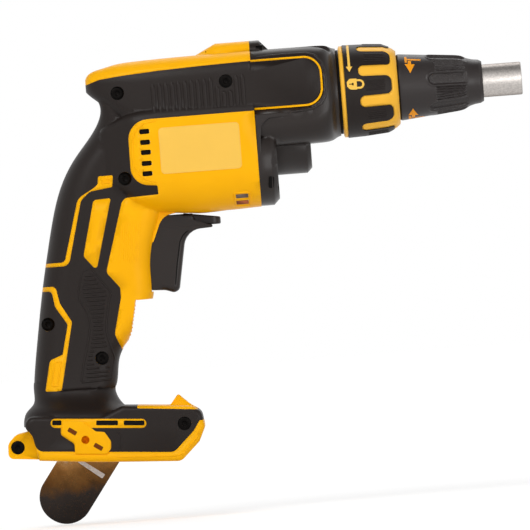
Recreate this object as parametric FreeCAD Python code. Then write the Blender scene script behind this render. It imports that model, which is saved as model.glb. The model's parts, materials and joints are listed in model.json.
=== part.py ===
import FreeCAD
import Part
import math
import os

from FreeCAD import Vector

# Drywall screwdriver. Lengths in millimetres, angles in degrees.
# The spindle axis is the X axis, the nose points to +X and +Z is up.
# The origin is the centre of the depth locator's front mouth.

# Clearances
overrun = 2.0
running_clearance = 0.05
loose_clearance = 0.3
seat_clearance = 0.1
least_radius = 0.3
form_rows = 13

# Lengths along the spindle axis, from the nose to the housing
locator_reach = 19.5
cone_length = 42.5
collar_length = 28.6
collar_gap = 1.4
case_length = 42.5
barrel_length = 83.0

# Gear train
gear_module = 0.85
pinion_teeth = 10
gear_teeth = 50
tooth_backlash = 0.16
gear_width = 6.5
pressure_angle = 20.0
flank_points = 4
pinion_width = 8.0

# Housing
wall = 3.0
overmould = 1.4
barrel_rise = 23.6
barrel_half_width = 27.0
barrel_round = 11.0
motor_box_half_height = 28.2
motor_box_half_width = 28.6
motor_box_round = 20.0
bump_rise = 28.8
bump_half_width = 17.0
bump_round = 7.0
bump_length = 37.8

# Handle, measured down from the motor axis
handle_set_back = 80.5
handle_top_drop = 11.0
handle_length = 100.0
handle_run = 19.7
handle_depth = 41.0
handle_half_width = 17.0

# Foot, in its own frame: pitched nose down, origin under the handle
foot_set_back = 80.5
foot_drop = 174.9
foot_pitch = 4.5
foot_length = 90.0
foot_height = 27.5
foot_half_width = 32.0
foot_edge_round = 2.5
ear_half_width = 24.0
channel_half_width = 24.5
channel_depth = 13.0
rail_height = 3.4
rail_reach = 4.0
channel_rear = 36.0

# Gear case
tongue_thickness = 2.4
tongue_length = 35.0
tongue_top = 19.0
tongue_bottom = 6.0
tongue_round = 9.0
tongue_border = 1.0
flange_thickness = 9.5
flange_bevel = 3.0
case_half_width = 26.6
case_front_radius = 21.8
boss_radius = 13.5
boss_reach = 26.8
boss_bevel = 2.5
neck_radius = 16.0
neck_length = 26.0

# Spindle, clutch and bearings
journal_radius = 4.0
spindle_radius = 6.0
holder_radius = 5.0
holder_tip = 14.0
holder_length = 58.0
hex_flats = 6.4
hex_depth = 16.0
magnet_length = 3.0
bit_ring_width = 1.2
bit_ring_depth = 0.7
bit_ring_inset = 4.0
dog_height = 1.6
dog_count = 3
dog_inner_radius = 10.5
dog_outer_radius = 15.0
dog_angle = 50.0
clutch_travel = 2.4
clutch_margin = 0.2
disc_radius = 16.0
disc_width = 6.0
clutch_wire = 1.0
clutch_coil_radius = 8.4
clutch_turns = 2.5
washer_width = 1.5
washer_radius = 16.6
front_bearing_width = 8.0
front_bearing_radius = 14.0
race_thickness = 2.6
bearing_ball_count = 9
bearing_lip = 1.0
spacer_wall = 2.5
rear_bearing_width = 5.0
rear_bearing_radius = 8.0
seal_width = 3.0
plate_thickness = 6.5
plate_radius = 23.2
plate_motor_radius = 19.8

# Nose
carrier_radius = 12.5
carrier_engagement = 20.0
carrier_flange_radius = 16.2
spigot_length = 22.0
ring_section = 0.9
snap_width = 1.2
snap_depth = 0.9
snap_inset = 2.4
locator_radius = 8.2
locator_length = 56.0
mouth_radius = 6.5
mouth_depth = 13.0
locator_bore = 5.7
locator_travel = 4.0
key_radius = 1.4
key_inset = 4.5
key_reach = 3.2
cone_rear_radius = 16.6
collar_rear_radius = 22.9
collar_grip_depth = 1.3
collar_finger_count = 9
collar_finger_width = 6.0
collar_lobe_round = 2.5
collar_rim = 2.2
collar_front_band = 3.2
collar_ring_width = 1.2
collar_ring_inset = 1.6

# Motor
motor_gap = 0.5
stator_radius = 21.5
stator_length = 24.0
stator_slot_count = 6
winding_length = 5.0
rotor_radius = 12.0
shaft_radius = 2.5
fan_radius = 17.0
fan_length = 9.0
fan_hub_radius = 6.0
fan_disc = 1.6
fan_blade = 1.2
fan_blade_count = 11
fan_gap = 1.0
sensor_board_thickness = 1.4
motor_bearing_width = 5.0
motor_bearing_radius = 8.0
motor_bearing_gap = 4.0
magnet_thickness = 2.4
tail_bearing_width = 5.0
tail_bearing_radius = 6.5
tail_gap = 1.2
cradle_width = 3.0

# Trigger, switch and lever
throat_set_back = 56.8
pocket_half_width = 10.9
pocket_depth = 8.5
pocket_floor_drop = 66.7
pocket_roof_drop = 28.9
trigger_half_width = 10.4
trigger_travel = 6.0
trigger_root = 1.2
lever_thickness = 3.6
lever_root_thickness = 6.2
lever_root_length = 23.0
lever_root_half_width = 6.5
lever_bar_half_width = 4.2
lever_reach = 35.8
lever_pin_radius = 1.6
lever_pin_set_in = 6.0
lever_pin_rise = 3.4
switch_length = 27.0
switch_half_width = 9.0
switch_gap = 12.5
plunger_radius = 3.0
plunger_length = 20.0
trigger_wire = 0.8
trigger_coil_radius = 4.6
trigger_turns = 6
button_radius = 4.0
button_proud = 1.6
button_travel = 2.5
button_length = 6.8
button_flange = 1.2
button_flange_thickness = 1.2

# Electronics
board_thickness = 1.6
board_length = 34.0
board_depth = 13.0
sink_thickness = 4.5
capacitor_radius = 4.0
capacitor_length = 14.0
block_length = 7.0
block_half_width = 15.0
block_base = 4.0
blade_thickness = 0.9
blade_length = 14.0
blade_height = 5.5
blade_count = 4
blade_pitch = 6.5

# Lamp
fin_half_width = 10.0
lens_half_width = 7.0
lens_thickness = 1.6
lamp_board_thickness = 1.2

# Fasteners
screw_shank = 1.5
screw_head = 3.0
screw_head_height = 2.4
screw_grip = 20.0
boss_outer = 4.2
recess_radius = 3.4
recess_depth = 2.6
case_screw_shank = 2.0
case_screw_head = 3.3
case_screw_head_height = 3.4
case_screw_length = 20.0
case_boss_radius = 4.3
case_screw_upper = (13.0, 23.5)
case_screw_lower = (19.0, -43.0)
drive_flats = 2.4
drive_depth = 1.4

# Belt hook
hook_width = 27.0
hook_offset = 6.5
hook_thickness = 2.2
hook_lean = 58.5
hook_standoff = 11.0
hook_tab_above = 7.0
hook_tab_below = 7.0
hook_bend = 18.5
hook_reach = 44.5
hook_screw_radius = 2.0
hook_screw_head = 4.2
hook_screw_head_height = 2.6
hook_screw_length = 6.0

# Rating plate and vents
label_thickness = 0.3
label_round = 2.0
vent_length = 5.0
vent_height = 2.5
window_bar = 1.2

# Stations worked out from the lengths above
cone_front_x = -locator_reach
cone_rear_x = cone_front_x - cone_length
collar_front_x = cone_rear_x
collar_rear_x = collar_front_x - collar_length
case_front_x = collar_rear_x - collar_gap
joint_x = case_front_x - case_length
motor_drop = gear_module * (pinion_teeth + gear_teeth) / 2
motor_z = -motor_drop
gear_rear_x = joint_x + loose_clearance
gear_front_x = gear_rear_x + gear_width
gear_tip_radius = gear_module * (gear_teeth / 2 + 1)
disc_rear_x = gear_front_x + 2 * dog_height + clutch_travel + clutch_margin
disc_front_x = disc_rear_x + disc_width
washer_rear_x = disc_front_x + clutch_margin
shoulder_x = washer_rear_x + washer_width
front_bearing_x = case_front_x - bearing_lip
neck_front_x = case_front_x + neck_length
collar_ring_x = neck_front_x - collar_ring_inset - collar_ring_width
bit_ring_x = -holder_tip - bit_ring_inset - bit_ring_width
motor_bearing_rear_x = gear_rear_x + pinion_width + motor_bearing_gap
pinion_clear_radius = gear_module * (pinion_teeth / 2 + 1) + 2 * loose_clearance
carrier_rear_x = neck_front_x - carrier_engagement
flange_front_x = cone_rear_x - loose_clearance
spigot_front_x = flange_front_x + spigot_length
spindle_shoulder_x = joint_x + clutch_travel + loose_clearance
holder_rear_x = -holder_tip - holder_length
throat_x = joint_x - throat_set_back
pocket_rear_x = throat_x - pocket_depth
pocket_floor_z = motor_z - pocket_floor_drop
pocket_roof_z = motor_z - pocket_roof_drop
trigger_rear_x = throat_x - trigger_root
lever_top_z = pocket_roof_z - loose_clearance
lever_bottom_z = lever_top_z - lever_root_thickness
lever_pin_x = throat_x + lever_pin_set_in
trigger_top_z = lever_bottom_z - loose_clearance
switch_front_x = trigger_rear_x - switch_gap
plunger_z = (pocket_floor_z + trigger_top_z) / 2
fan_front_x = joint_x - plate_thickness - fan_gap
fan_rear_x = fan_front_x - fan_length
winding_front_x = fan_rear_x - fan_gap
stator_front_x = winding_front_x - winding_length
stator_rear_x = stator_front_x - stator_length
winding_rear_x = stator_rear_x - winding_length
tail_bearing_front_x = winding_rear_x - sensor_board_thickness - tail_gap
tail_bearing_rear_x = tail_bearing_front_x - tail_bearing_width
foot_x = joint_x - foot_set_back
foot_z = -foot_drop

# Tables of shares
# Barrel rows from the joint back to the heel: place along the barrel, low and high as shares
# of the barrel's rise, half width, corner rounding
BARREL_SHARES = [
    (0.0, -0.55, 1.013, 1.0, 1.0),
    (0.19, -0.55, 1.004, 1.0, 1.0),
    (0.43, -0.55, 0.996, 0.985, 1.0),
    (0.645, -0.52, 0.979, 0.935, 1.0),
    (0.777, -0.36, 0.958, 0.865, 0.91),
    (0.886, 0.04, 0.881, 0.755, 0.73),
    (0.952, 0.23, 0.822, 0.655, 0.55),
    (0.986, 0.34, 0.746, 0.54, 0.41),
    (1.0, 0.40, 0.657, 0.41, 0.26),
]
# Motor box rows from the joint back: place along the barrel, low and high about the motor
# axis as shares of its half height, half width, rounding
MOTOR_SHARES = [
    (0.0, -1.01, 0.90, 0.99, 1.0),
    (0.20, -1.03, 0.90, 1.0, 1.0),
    (0.35, -1.05, 0.90, 1.0, 1.0),
    (0.50, -1.01, 0.90, 1.0, 1.0),
    (0.669, -0.96, 0.87, 0.985, 0.95),
    (0.765, -0.83, 0.80, 0.90, 0.8),
    (0.849, -0.66, 0.69, 0.75, 0.6),
    (0.934, -0.44, 0.54, 0.60, 0.4),
]
# Handle rows from the heel down: drop along the handle, rear and front about its axis as
# shares of its depth, half width
HANDLE_SHARES = [
    (-0.425, -0.155, 0.259, 1.118),
    (-0.335, -0.085, 0.376, 1.118),
    (-0.265, -0.118, 0.482, 1.106),
    (-0.165, -0.284, 0.604, 1.088),
    (-0.045, -0.424, 0.734, 1.071),
    (0.095, -0.498, 0.838, 1.053),
    (0.195, -0.516, 0.818, 1.035),
    (0.275, -0.524, 0.783, 1.018),
    (0.355, -0.529, 0.768, 1.006),
    (0.445, -0.535, 0.789, 0.994),
    (0.535, -0.536, 0.833, 0.982),
    (0.615, -0.534, 0.837, 0.976),
    (0.685, -0.529, 0.760, 0.976),
    (0.755, -0.525, 0.655, 0.982),
    (0.835, -0.521, 0.550, 0.994),
    (0.925, -0.509, 0.503, 1.035),
    (1.015, -0.488, 0.507, 1.094),
]
handle_rear_round_share = 0.80
handle_front_round_share = 0.62
handle_round_limit_share = 0.45
# Flare rows from the handle's end down into the foot: height above the foot's base as a share
# of the foot's height, rear and front as shares of its length, half width as a share of the foot's
FLARE_SHARES = [
    (1.40, -0.478, -0.018, 0.545),
    (1.25, -0.477, -0.022, 0.575),
    (1.12, -0.473, -0.004, 0.65),
    (1.00, -0.481, 0.028, 0.78),
    (0.90, -0.508, 0.062, 0.90),
    (0.77, -0.527, 0.085, 0.975),
    (0.60, -0.529, 0.10, 0.99),
]
flare_length_round_share = 0.336
flare_width_round_share = 0.8
# Foot outline in its own frame: along its length, up its height, corner rounding
FOOT_SHARES = [
    (-0.44, 0.0, 0.0), (-0.105, -0.02, 0.0), (0.345, 0.0, 0.05), (0.445, 0.36, 0.03),
    (0.475, 0.62, 0.05), (0.455, 0.90, 0.05), (0.40, 1.0, 0.03), (0.02, 1.0, 0.03),
    (-0.10, 0.80, 0.05), (-0.50, 0.80, 0.05), (-0.528, 0.62, 0.04), (-0.48, 0.44, 0.03),
    (-0.455, 0.15, 0.03),
]
EAR_SHARES = [
    (-0.40, 0.02, 0.0), (-0.612, 0.03, 0.03), (-0.616, 0.30, 0.05), (-0.575, 0.46, 0.04),
    (-0.48, 0.54, 0.0), (-0.40, 0.54, 0.0),
]
FIN_SHARES = [
    (0.22, 0.90, 0.0), (0.283, 1.02, 0.02), (0.322, 1.21, 0.012), (0.41, 0.98, 0.0), (0.40, 0.85, 0.0),
]
# Gear case rows from the joint forward: place, half width, top, bottom, rounding
CASE_SHARES = [
    (0.0, 1.0, 1.013, -1.06, 0.55),
    (0.30, 1.0, 1.013, -1.05, 0.55),
    (0.60, 1.0, 1.01, -1.04, 0.58),
    (0.80, 0.985, 1.01, -1.035, 0.68),
    (0.90, 0.92, 0.985, -1.0, 0.85),
    (1.0, 0.82, 0.925, -0.925, 0.99),
]
# Nose cone and collar outlines from the rear: place along, radius
CONE_SHARES = [
    (0.0, 0.96), (0.02, 1.0), (0.05, 0.995), (0.47, 0.889), (0.706, 0.828), (0.76, 0.80),
    (0.83, 0.72), (0.894, 0.675), (0.96, 0.655), (1.0, 0.60),
]
COLLAR_SHARES = [
    (0.0, 0.95), (0.02, 1.0), (0.4, 0.985), (0.78, 0.948), (0.927, 0.873), (1.0, 0.80),
]
finger_turn_share = 0.63
finger_rear_share = 0.32
slot_width_share = 0.8
addendum_share = 0.9
dedendum_share = 1.2
# Outlines of the bare yellow areas on the sides
TOP_COVER_SHARES = [
    (1.08, 0.47), (0.999, 0.547), (0.912, 0.64), (0.79, 0.682), (0.548, 0.733), (0.305, 0.763),
    (0.0, 0.788), (-0.1, 0.80), (-0.1, 1.6), (1.08, 1.6),
]
MOTOR_PANEL_SHARES = [
    (-0.1, -0.263, 0.0), (0.633, -0.271, 0.0), (0.765, -0.297, 0.12), (0.767, -1.631, 0.11),
    (0.612, -1.678, 0.012), (0.612, -1.9, 0.0), (0.58, -2.7, 0.0), (-0.1, -2.7, 0.0),
]
THROAT_PANEL_SHARES = [
    (0.0, 0.95, 0.0), (0.076, 0.761, 0.0), (0.081, 0.324, 0.10), (0.444, 0.230, 0.08),
    (0.525, 0.425, 0.06), (0.575, 0.448, 0.06), (0.755, 0.425, 0.10), (0.836, 0.543, 0.0),
    (0.86, 0.80, 0.0), (0.40, 1.40, 0.0), (0.0, 1.40, 0.0),
]
UPPER_STRIPE_SHARES = [
    (0.378, -0.80, 0.0), (0.378, -0.296, 0.06), (0.065, -0.227, 0.16), (0.021, -0.05, 0.06),
    (0.003, -0.003, 0.02), (-0.037, -0.008, 0.02), (-0.037, 0.172, 0.02), (0.021, 0.181, 0.02),
    (0.036, -0.09, 0.10), (0.077, -0.185, 0.10), (0.397, -0.239, 0.10), (0.397, -0.80, 0.0),
]
LOWER_STRIPE_SHARES = [
    (0.494, -0.80, 0.0), (0.494, -0.377, 0.06), (0.58, -0.297, 0.06), (0.677, -0.119, 0.06),
    (1.016, -0.146, 0.03), (1.014, -0.347, 0.02), (0.86, -0.336, 0.06), (0.836, -0.186, 0.02),
    (0.688, -0.169, 0.06), (0.595, -0.351, 0.06), (0.517, -0.417, 0.05), (0.517, -0.80, 0.0),
]
MIDDLE_STRIPE_SHARES = [
    (0.079, -0.033, 0.05), (0.076, 0.178, 0.02), (0.43, 0.109, 0.03), (0.355, -0.073, 0.06),
]
FOOT_RAIL_SHARES = [
    (-0.62, 0.60, 0.0), (-0.50, 0.527, 0.0), (-0.478, 0.436, 0.05), (-0.455, 0.17, 0.05),
    (0.305, 0.165, 0.05), (0.411, 0.545, 0.05), (0.445, 0.74, 0.0), (0.60, 0.80, 0.0),
    (0.60, -0.20, 0.0), (-0.62, -0.20, 0.0),
]
FOOT_TOP_SHARES = [(0.10, 0.955), (0.60, 0.93), (0.60, 1.40), (0.10, 1.40)]
SLOT_FRAME_SHARES = [
    (-0.378, 0.60, 0.024), (0.15, 0.60, 0.024), (0.15, 0.764, 0.024), (-0.378, 0.764, 0.024),
]
HOOK_PAD_SHARES = [
    (-0.30, 0.745, 0.02), (-0.228, 0.745, 0.02), (-0.044, 0.364, 0.02), (-0.044, 0.182, 0.02),
    (-0.244, 0.182, 0.02), (-0.247, 0.309, 0.02), (-0.322, 0.473, 0.02), (-0.322, 0.655, 0.02),
]
hook_hole_shares = (-0.186, 0.382)
BARREL_SCREW_SHARES = [(0.811, 0.326), (0.157, 0.403)]
HANDLE_SCREW_SHARES = [(-0.015, 0.327), (0.68, -0.412), (0.868, 0.302)]
FOOT_SCREW_SHARES = [(0.361, 0.682)]
ear_screw_shares = (-0.561, 0.236)
VENT_SHARES = [(0.667, -0.525), (0.667, -0.754), (0.667, -0.966), (0.667, -1.199), (0.667, -1.415)]
label_low_shares = (0.583, -1.453)
label_high_shares = (0.098, -0.475)
window_low_shares = (0.149, -2.212)
window_high_shares = (0.075, -2.0)
# Trigger outline: forward of its rear face as shares of its travel, down its height
TRIGGER_SHARES = [
    (0.0, 0.0, 0.0), (5.35, 0.0, 0.1), (5.35, 0.045, 0.1), (3.18, 0.052, 1.5), (2.2, 1.04, 0.2),
    (1.95, 1.07, 0.1), (1.45, 1.0, 0.3), (0.0, 1.0, 0.0),
]
lens_ends_shares = (0.18, 0.78)
lamp_ends_shares = (0.24, 0.72)
button_shares = (0.33, 0.27)
board_shares = (0.77, -0.08)
lip_cut_shares = [
    (0.588, 1.30), (0.593, 0.665), (0.591, 0.628), (0.74, 0.622), (0.788, 0.60), (0.826, 0.538),
    (0.86, 0.80), (0.80, 1.30),
]


def point(x, z, y=0.0):
    """A point given along, up and across."""
    return Vector(x, y, z)


def handle_point(drop_share, depth_share):
    """A place on the handle's side, down its leaning axis and across its depth."""
    z = motor_z - handle_top_drop - drop_share * handle_length
    x = joint_x - handle_set_back - handle_run * drop_share + depth_share * handle_depth
    return x, z


def barrel_point(length_share, rise_share):
    """A place on the barrel's side, back from the joint and up from the spindle axis."""
    return joint_x - length_share * barrel_length, rise_share * barrel_rise


def foot_point(length_share, height_share):
    """A place on the foot's side in the foot's own frame."""
    return length_share * foot_length, height_share * foot_height


def foot_to_tool(shape):
    """Pitch a shape made in the foot's frame and set it under the handle."""
    shape.rotate(Vector(0, 0, 0), Vector(0, 1, 0), foot_pitch)
    shape.translate(point(foot_x, foot_z))
    return shape


def foot_place(x, z):
    """The tool's coordinates of a point of the foot's frame."""
    cosine = math.cos(math.radians(foot_pitch))
    sine = math.sin(math.radians(foot_pitch))
    return foot_x + x * cosine + z * sine, foot_z - x * sine + z * cosine


def box(x0, x1, y0, y1, z0, z1):
    """A block between two corners."""
    return Part.makeBox(x1 - x0, y1 - y0, z1 - z0, Vector(x0, y0, z0))


def rod(x0, x1, radius, z=0.0, y=0.0):
    """A cylinder along X."""
    return Part.makeCylinder(radius, x1 - x0, Vector(x0, y, z), Vector(1, 0, 0))


def tube(x0, x1, outer, inner, z=0.0):
    """A sleeve along X, its bore run past both ends."""
    return rod(x0, x1, outer, z).cut(rod(x0 - overrun, x1 + overrun, inner, z))


def cross_rod(x, z, y0, y1, radius):
    """A cylinder across the tool, along Y."""
    return Part.makeCylinder(radius, y1 - y0, Vector(x, y0, z), Vector(0, 1, 0))


def turned(profile, z=0.0):
    """A solid of revolution about an axis along X, from (x, radius) corners."""
    corners = [point(x, z + radius) for x, radius in profile]
    face = Part.Face(Part.makePolygon(corners + corners[:1]))
    return face.revolve(point(0, z), Vector(1, 0, 0), 360)


def fused(shapes):
    """One solid out of overlapping shapes."""
    whole = shapes[0]
    if len(shapes) > 1:
        whole = whole.fuse(shapes[1:])
    return whole


def rounded_wire(corners):
    """A closed loop in the XZ plane whose corners (x, z, radius) are rounded with tangent arcs."""
    edges = []
    ends = []
    count = len(corners)
    for index, (x, z, radius) in enumerate(corners):
        here = point(x, z)
        before = point(corners[index - 1][0], corners[index - 1][1])
        after = point(corners[(index + 1) % count][0], corners[(index + 1) % count][1])
        back = (before - here).normalize()
        ahead = (after - here).normalize()
        half = back.getAngle(ahead) / 2
        if radius > 0:
            reach = radius / math.tan(half)
            middle = (back + ahead).normalize() * (radius / math.sin(half) - radius)
            arc = Part.Arc(here + back * reach, here + middle, here + ahead * reach)
            ends.append((here + back * reach, here + ahead * reach, arc.toShape()))
        else:
            ends.append((here, here, None))
    for index in range(count):
        start, finish, arc = ends[index]
        if arc:
            edges.append(arc)
        edges.append(Part.LineSegment(finish, ends[(index + 1) % count][0]).toShape())
    return Part.Wire(edges)


def prism(corners, y0, y1):
    """A rounded outline in the XZ plane, carried across from y0 to y1."""
    face = Part.Face(rounded_wire(corners))
    face.translate(Vector(0, y0, 0))
    return face.extrude(Vector(0, y1 - y0, 0))


def plain(corners):
    """Sharp corners for an outline given as (x, z)."""
    return [(x, z, 0.0) for x, z in corners]


def rounded_loop(place, low, high, half, low_round, high_round):
    """A loop from low to high, half wide on both sides, with rounded corners."""
    cut = 1 - math.sqrt(0.5)
    marks = [
        (low + low_round, -half), (high - high_round, -half),
        (high - high_round * cut, -half + high_round * cut), (high, -half + high_round),
        (high, half - high_round), (high - high_round * cut, half - high_round * cut),
        (high - high_round, half), (low + low_round, half),
        (low + low_round * cut, half - low_round * cut), (low, half - low_round),
        (low, -half + low_round), (low + low_round * cut, -half + low_round * cut),
    ]
    spots = [place(along, across) for along, across in marks]
    edges = []
    for start in range(0, len(spots), 3):
        first, second, bend = spots[start], spots[start + 1], spots[(start + 2) % len(spots)]
        edges.append(Part.LineSegment(first, second).toShape())
        edges.append(Part.Arc(second, bend, spots[(start + 3) % len(spots)]).toShape())
    return Part.Wire(edges)


def even_rows(rows, count):
    """The same table at evenly spaced first values, by cubic curves that never overshoot."""
    places = [row[0] for row in rows]
    table = []
    for column in range(1, len(rows[0])):
        values = [row[column] for row in rows]
        slopes = []
        for i in range(len(rows) - 1):
            slopes.append((values[i + 1] - values[i]) / (places[i + 1] - places[i]))
        tangents = [slopes[0]]
        for left, right in zip(slopes, slopes[1:]):
            tangents.append(2 * left * right / (left + right) if left * right > 0 else 0.0)
        tangents.append(slopes[-1])
        table.append((values, tangents))
    spread = []
    for step in range(count):
        at = places[0] + (places[-1] - places[0]) * step / (count - 1)
        index = 0
        while index < len(rows) - 2 and (at - places[index + 1]) * (places[-1] - places[0]) > 0:
            index += 1
        gap = places[index + 1] - places[index]
        t = (at - places[index]) / gap
        row = [at]
        for values, tangents in table:
            row.append(
                values[index] * (1 + 2 * t) * (1 - t) ** 2 + tangents[index] * gap * t * (1 - t) ** 2
                + values[index + 1] * t * t * (3 - 2 * t) + tangents[index + 1] * gap * t * t * (t - 1))
        spread.append(tuple(row))
    return spread


def loft(loops):
    """A smooth closed body through the loops."""
    return Part.makeLoft(loops, True, False, False, 3)


def loft_along_x(rows, inset):
    """A smooth body through rows (x, low, high, half width, low round, high round).

    Rows too thin to take the inset are left out.
    """
    loops = []
    for x, low, high, half, low_round, high_round in rows:
        if high - low - 2 * inset < 4 * least_radius:
            continue
        loops.append(rounded_loop(
            lambda z, y, x=x: point(x, z, y), low + inset, high - inset, half - inset,
            max(low_round - inset, least_radius), max(high_round - inset, least_radius)))
    return loft(loops)


def loft_along_z(rows, inset):
    """A smooth body through slices (z, rear, front, half width, rear round, front round)."""
    loops = []
    for z, rear, front, half, rear_round, front_round in rows:
        loops.append(rounded_loop(
            lambda x, y, z=z: point(x, z, y), rear + inset, front - inset, half - inset,
            max(rear_round - inset, least_radius), max(front_round - inset, least_radius)))
    return loft(loops)


def barrel_form(inset):
    """The upper barrel with its rounded heel."""
    rows = []
    for along, low, high, half, rounding in even_rows(BARREL_SHARES, form_rows):
        x = joint_x - along * (barrel_length - inset)
        turn = rounding * barrel_round
        rows.append((x, low * barrel_rise, high * barrel_rise, half * barrel_half_width, turn, turn))
    return loft_along_x(rows, inset)


def motor_form(inset):
    """The motor box under the barrel, drawn in towards the handle."""
    rows = []
    for along, low, high, half, rounding in even_rows(MOTOR_SHARES, form_rows):
        x = joint_x - along * barrel_length
        turn = rounding * motor_box_round
        rows.append((
            x, motor_z + low * motor_box_half_height, motor_z + high * motor_box_half_height,
            half * motor_box_half_width, turn, turn / 3))
    return loft_along_x(rows, inset)


def bump_form(inset):
    """The raised roof over the spindle gear."""
    slope = bump_rise - barrel_rise
    rear = joint_x - bump_length
    rows = [(rear, 0.0, barrel_rise - slope, bump_half_width, bump_round, bump_round),
            (rear + 4 * slope, 0.0, bump_rise, bump_half_width, bump_round, bump_round),
            (joint_x, 0.0, bump_rise, bump_half_width, bump_round, bump_round)]
    pair = [loft_along_x(rows[start:start + 2], inset) for start in (0, 1)]
    return fused(pair)


def handle_form(inset):
    """The leaning handle, from the heel down to the foot."""
    rows = []
    for drop, rear, front, half in even_rows(HANDLE_SHARES, form_rows):
        x_rear, z = handle_point(drop, rear)
        x_front, z = handle_point(drop, front)
        width = half * handle_half_width
        rear_round = min(handle_rear_round_share * width, (x_front - x_rear) * handle_round_limit_share)
        front_round = min(handle_front_round_share * width, (x_front - x_rear) * handle_round_limit_share)
        rows.append((z, x_rear, x_front, width, rear_round, front_round))
    lip = [handle_point(drop, depth) for drop, depth in lip_cut_shares]
    shifted = [(x - inset, z + inset) for x, z in lip]
    notch = prism(plain(shifted), -foot_half_width, foot_half_width)
    return loft_along_z(rows, inset).cut(notch)


def flare_form(inset):
    """The handle's spread into the foot."""
    rows = []
    for height, rear, front, half in FLARE_SHARES:
        rear_x, z = foot_point(rear, height)
        front_x, z = foot_point(front, height)
        width = half * foot_half_width
        turn = min(flare_length_round_share * (front_x - rear_x), flare_width_round_share * width)
        rows.append((z, rear_x, front_x, width, turn, turn))
    return foot_to_tool(loft_along_z(rows, inset))


def scaled_foot(shares):
    """A foot outline in millimetres from its shares."""
    return [(x * foot_length, z * foot_height, turn * foot_length) for x, z, turn in shares]


def inset_prism(corners, inset, half_width):
    """An outline drawn in by the inset and carried across to both sides."""
    face = Part.Face(rounded_wire(corners))
    if inset > 0:
        face = face.makeOffset2D(-inset)
    face.translate(Vector(0, -half_width + inset, 0))
    return face.extrude(Vector(0, 2 * (half_width - inset), 0))


def foot_block(inset):
    """The foot's main block, its long edges rounded on the outside."""
    block = inset_prism(scaled_foot(FOOT_SHARES), inset, foot_half_width)
    if inset > 0:
        return block
    sides = []
    for edge in block.Edges:
        if abs(abs(edge.CenterOfMass.y) - foot_half_width) < least_radius:
            sides.append(edge)
    return block.makeFillet(foot_edge_round, sides)


def foot_form(inset):
    """The foot block with its lamp fin and rear ear."""
    ear = inset_prism(scaled_foot(EAR_SHARES), inset, ear_half_width)
    fin = inset_prism(scaled_foot(FIN_SHARES), inset, fin_half_width)
    return foot_to_tool(fused([foot_block(inset), ear, fin]))


def body_form(inset):
    """The whole outside of the housing, drawn in by the inset."""
    return fused([
        barrel_form(inset), motor_form(inset), bump_form(inset), handle_form(inset),
        flare_form(inset), foot_form(inset)])


def right_side():
    """The half space of the side that faces -Y."""
    span = foot_drop + barrel_length
    return box(joint_x - span, span, -span, 0, -span, span)


def side_prism(corners):
    """A side outline carried out from the middle plane past the right side."""
    return prism(corners, -foot_half_width - overrun, 0)


def on_barrel(shares):
    """Corners on the barrel's side from shares (along, up, rounding)."""
    return [barrel_point(x, z) + (turn * barrel_length,) for x, z, turn in shares]


def on_handle(shares):
    """Corners on the handle's side from shares (down, across, rounding)."""
    return [handle_point(x, z) + (turn * handle_depth,) for x, z, turn in shares]


def yellow_areas():
    """Side prisms over every area that the soft grip leaves bare."""
    top_cover = plain([barrel_point(x, z) for x, z in TOP_COVER_SHARES])
    areas = [side_prism(top_cover)]
    areas.append(side_prism(on_barrel(MOTOR_PANEL_SHARES)))
    for shares in (THROAT_PANEL_SHARES, UPPER_STRIPE_SHARES, LOWER_STRIPE_SHARES, MIDDLE_STRIPE_SHARES):
        areas.append(side_prism(on_handle(shares)))
    foot_top = plain([foot_point(x, z) for x, z in FOOT_TOP_SHARES])
    foot_areas = [foot_top]
    for shares in (FOOT_RAIL_SHARES, SLOT_FRAME_SHARES, HOOK_PAD_SHARES):
        foot_areas.append(scaled_foot(shares))
    for corners in foot_areas:
        areas.append(foot_to_tool(side_prism(corners)))
    return areas


def tongue_outline(grow):
    """The tongue's outline on the gear case's side, grown or drawn in."""
    front = joint_x + tongue_length + grow
    return [
        (joint_x, -tongue_bottom - grow, 0.0), (front, -tongue_bottom - grow, tongue_round + grow),
        (front, tongue_top + grow, tongue_round + grow), (joint_x, tongue_top + grow, 0.0)]


def tongue_grip():
    """The soft face of the right tongue."""
    return prism(tongue_outline(-tongue_border), -barrel_half_width, overmould - barrel_half_width)


def tongue():
    """The right shell's tongue over the gear case, its soft face left out."""
    plate = prism(tongue_outline(0.0), -barrel_half_width, tongue_thickness - barrel_half_width)
    return plate.cut(tongue_grip())


def screw_places():
    """Where the cross screws go through the housing."""
    places = [barrel_point(x, z) for x, z in BARREL_SCREW_SHARES]
    places += [handle_point(x, z) for x, z in HANDLE_SCREW_SHARES]
    places += [foot_place(*foot_point(x, z)) for x, z in FOOT_SCREW_SHARES]
    places.append(foot_place(*foot_point(*ear_screw_shares)))
    return places


def switch_envelope(grow):
    """The space of the trigger switch, grown on all sides."""
    return box(
        switch_front_x - switch_length - grow, switch_front_x + grow, -switch_half_width - grow,
        switch_half_width + grow, pocket_floor_z - grow, trigger_top_z + grow)


def board_place(shape):
    """Lean a board piece made about the origin and set it in the handle."""
    lean = math.degrees(math.atan2(handle_run, handle_length))
    x, z = handle_point(*board_shares)
    shape.rotate(Vector(0, 0, 0), Vector(0, 1, 0), lean)
    shape.translate(point(x, z))
    return shape


def board_envelope(grow):
    """The space of the control board with its heat sink and capacitor."""
    block = box(
        -board_depth / 2 - grow, board_depth / 2 + grow,
        -sink_thickness - board_thickness / 2 - grow, board_thickness / 2 + 2 * capacitor_radius + grow,
        -board_length / 2 - grow, board_length / 2 + grow)
    return board_place(block)


def cradle(x0, radius, width):
    """A rib across the motor bay with a bore for a round motor piece."""
    rib = box(
        x0, x0 + width, -motor_box_half_width, motor_box_half_width,
        motor_z - motor_box_half_height - overrun, motor_z + motor_box_half_height)
    return rib.cut(rod(x0 - overrun, x0 + width + overrun, radius + seat_clearance, motor_z))


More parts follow.
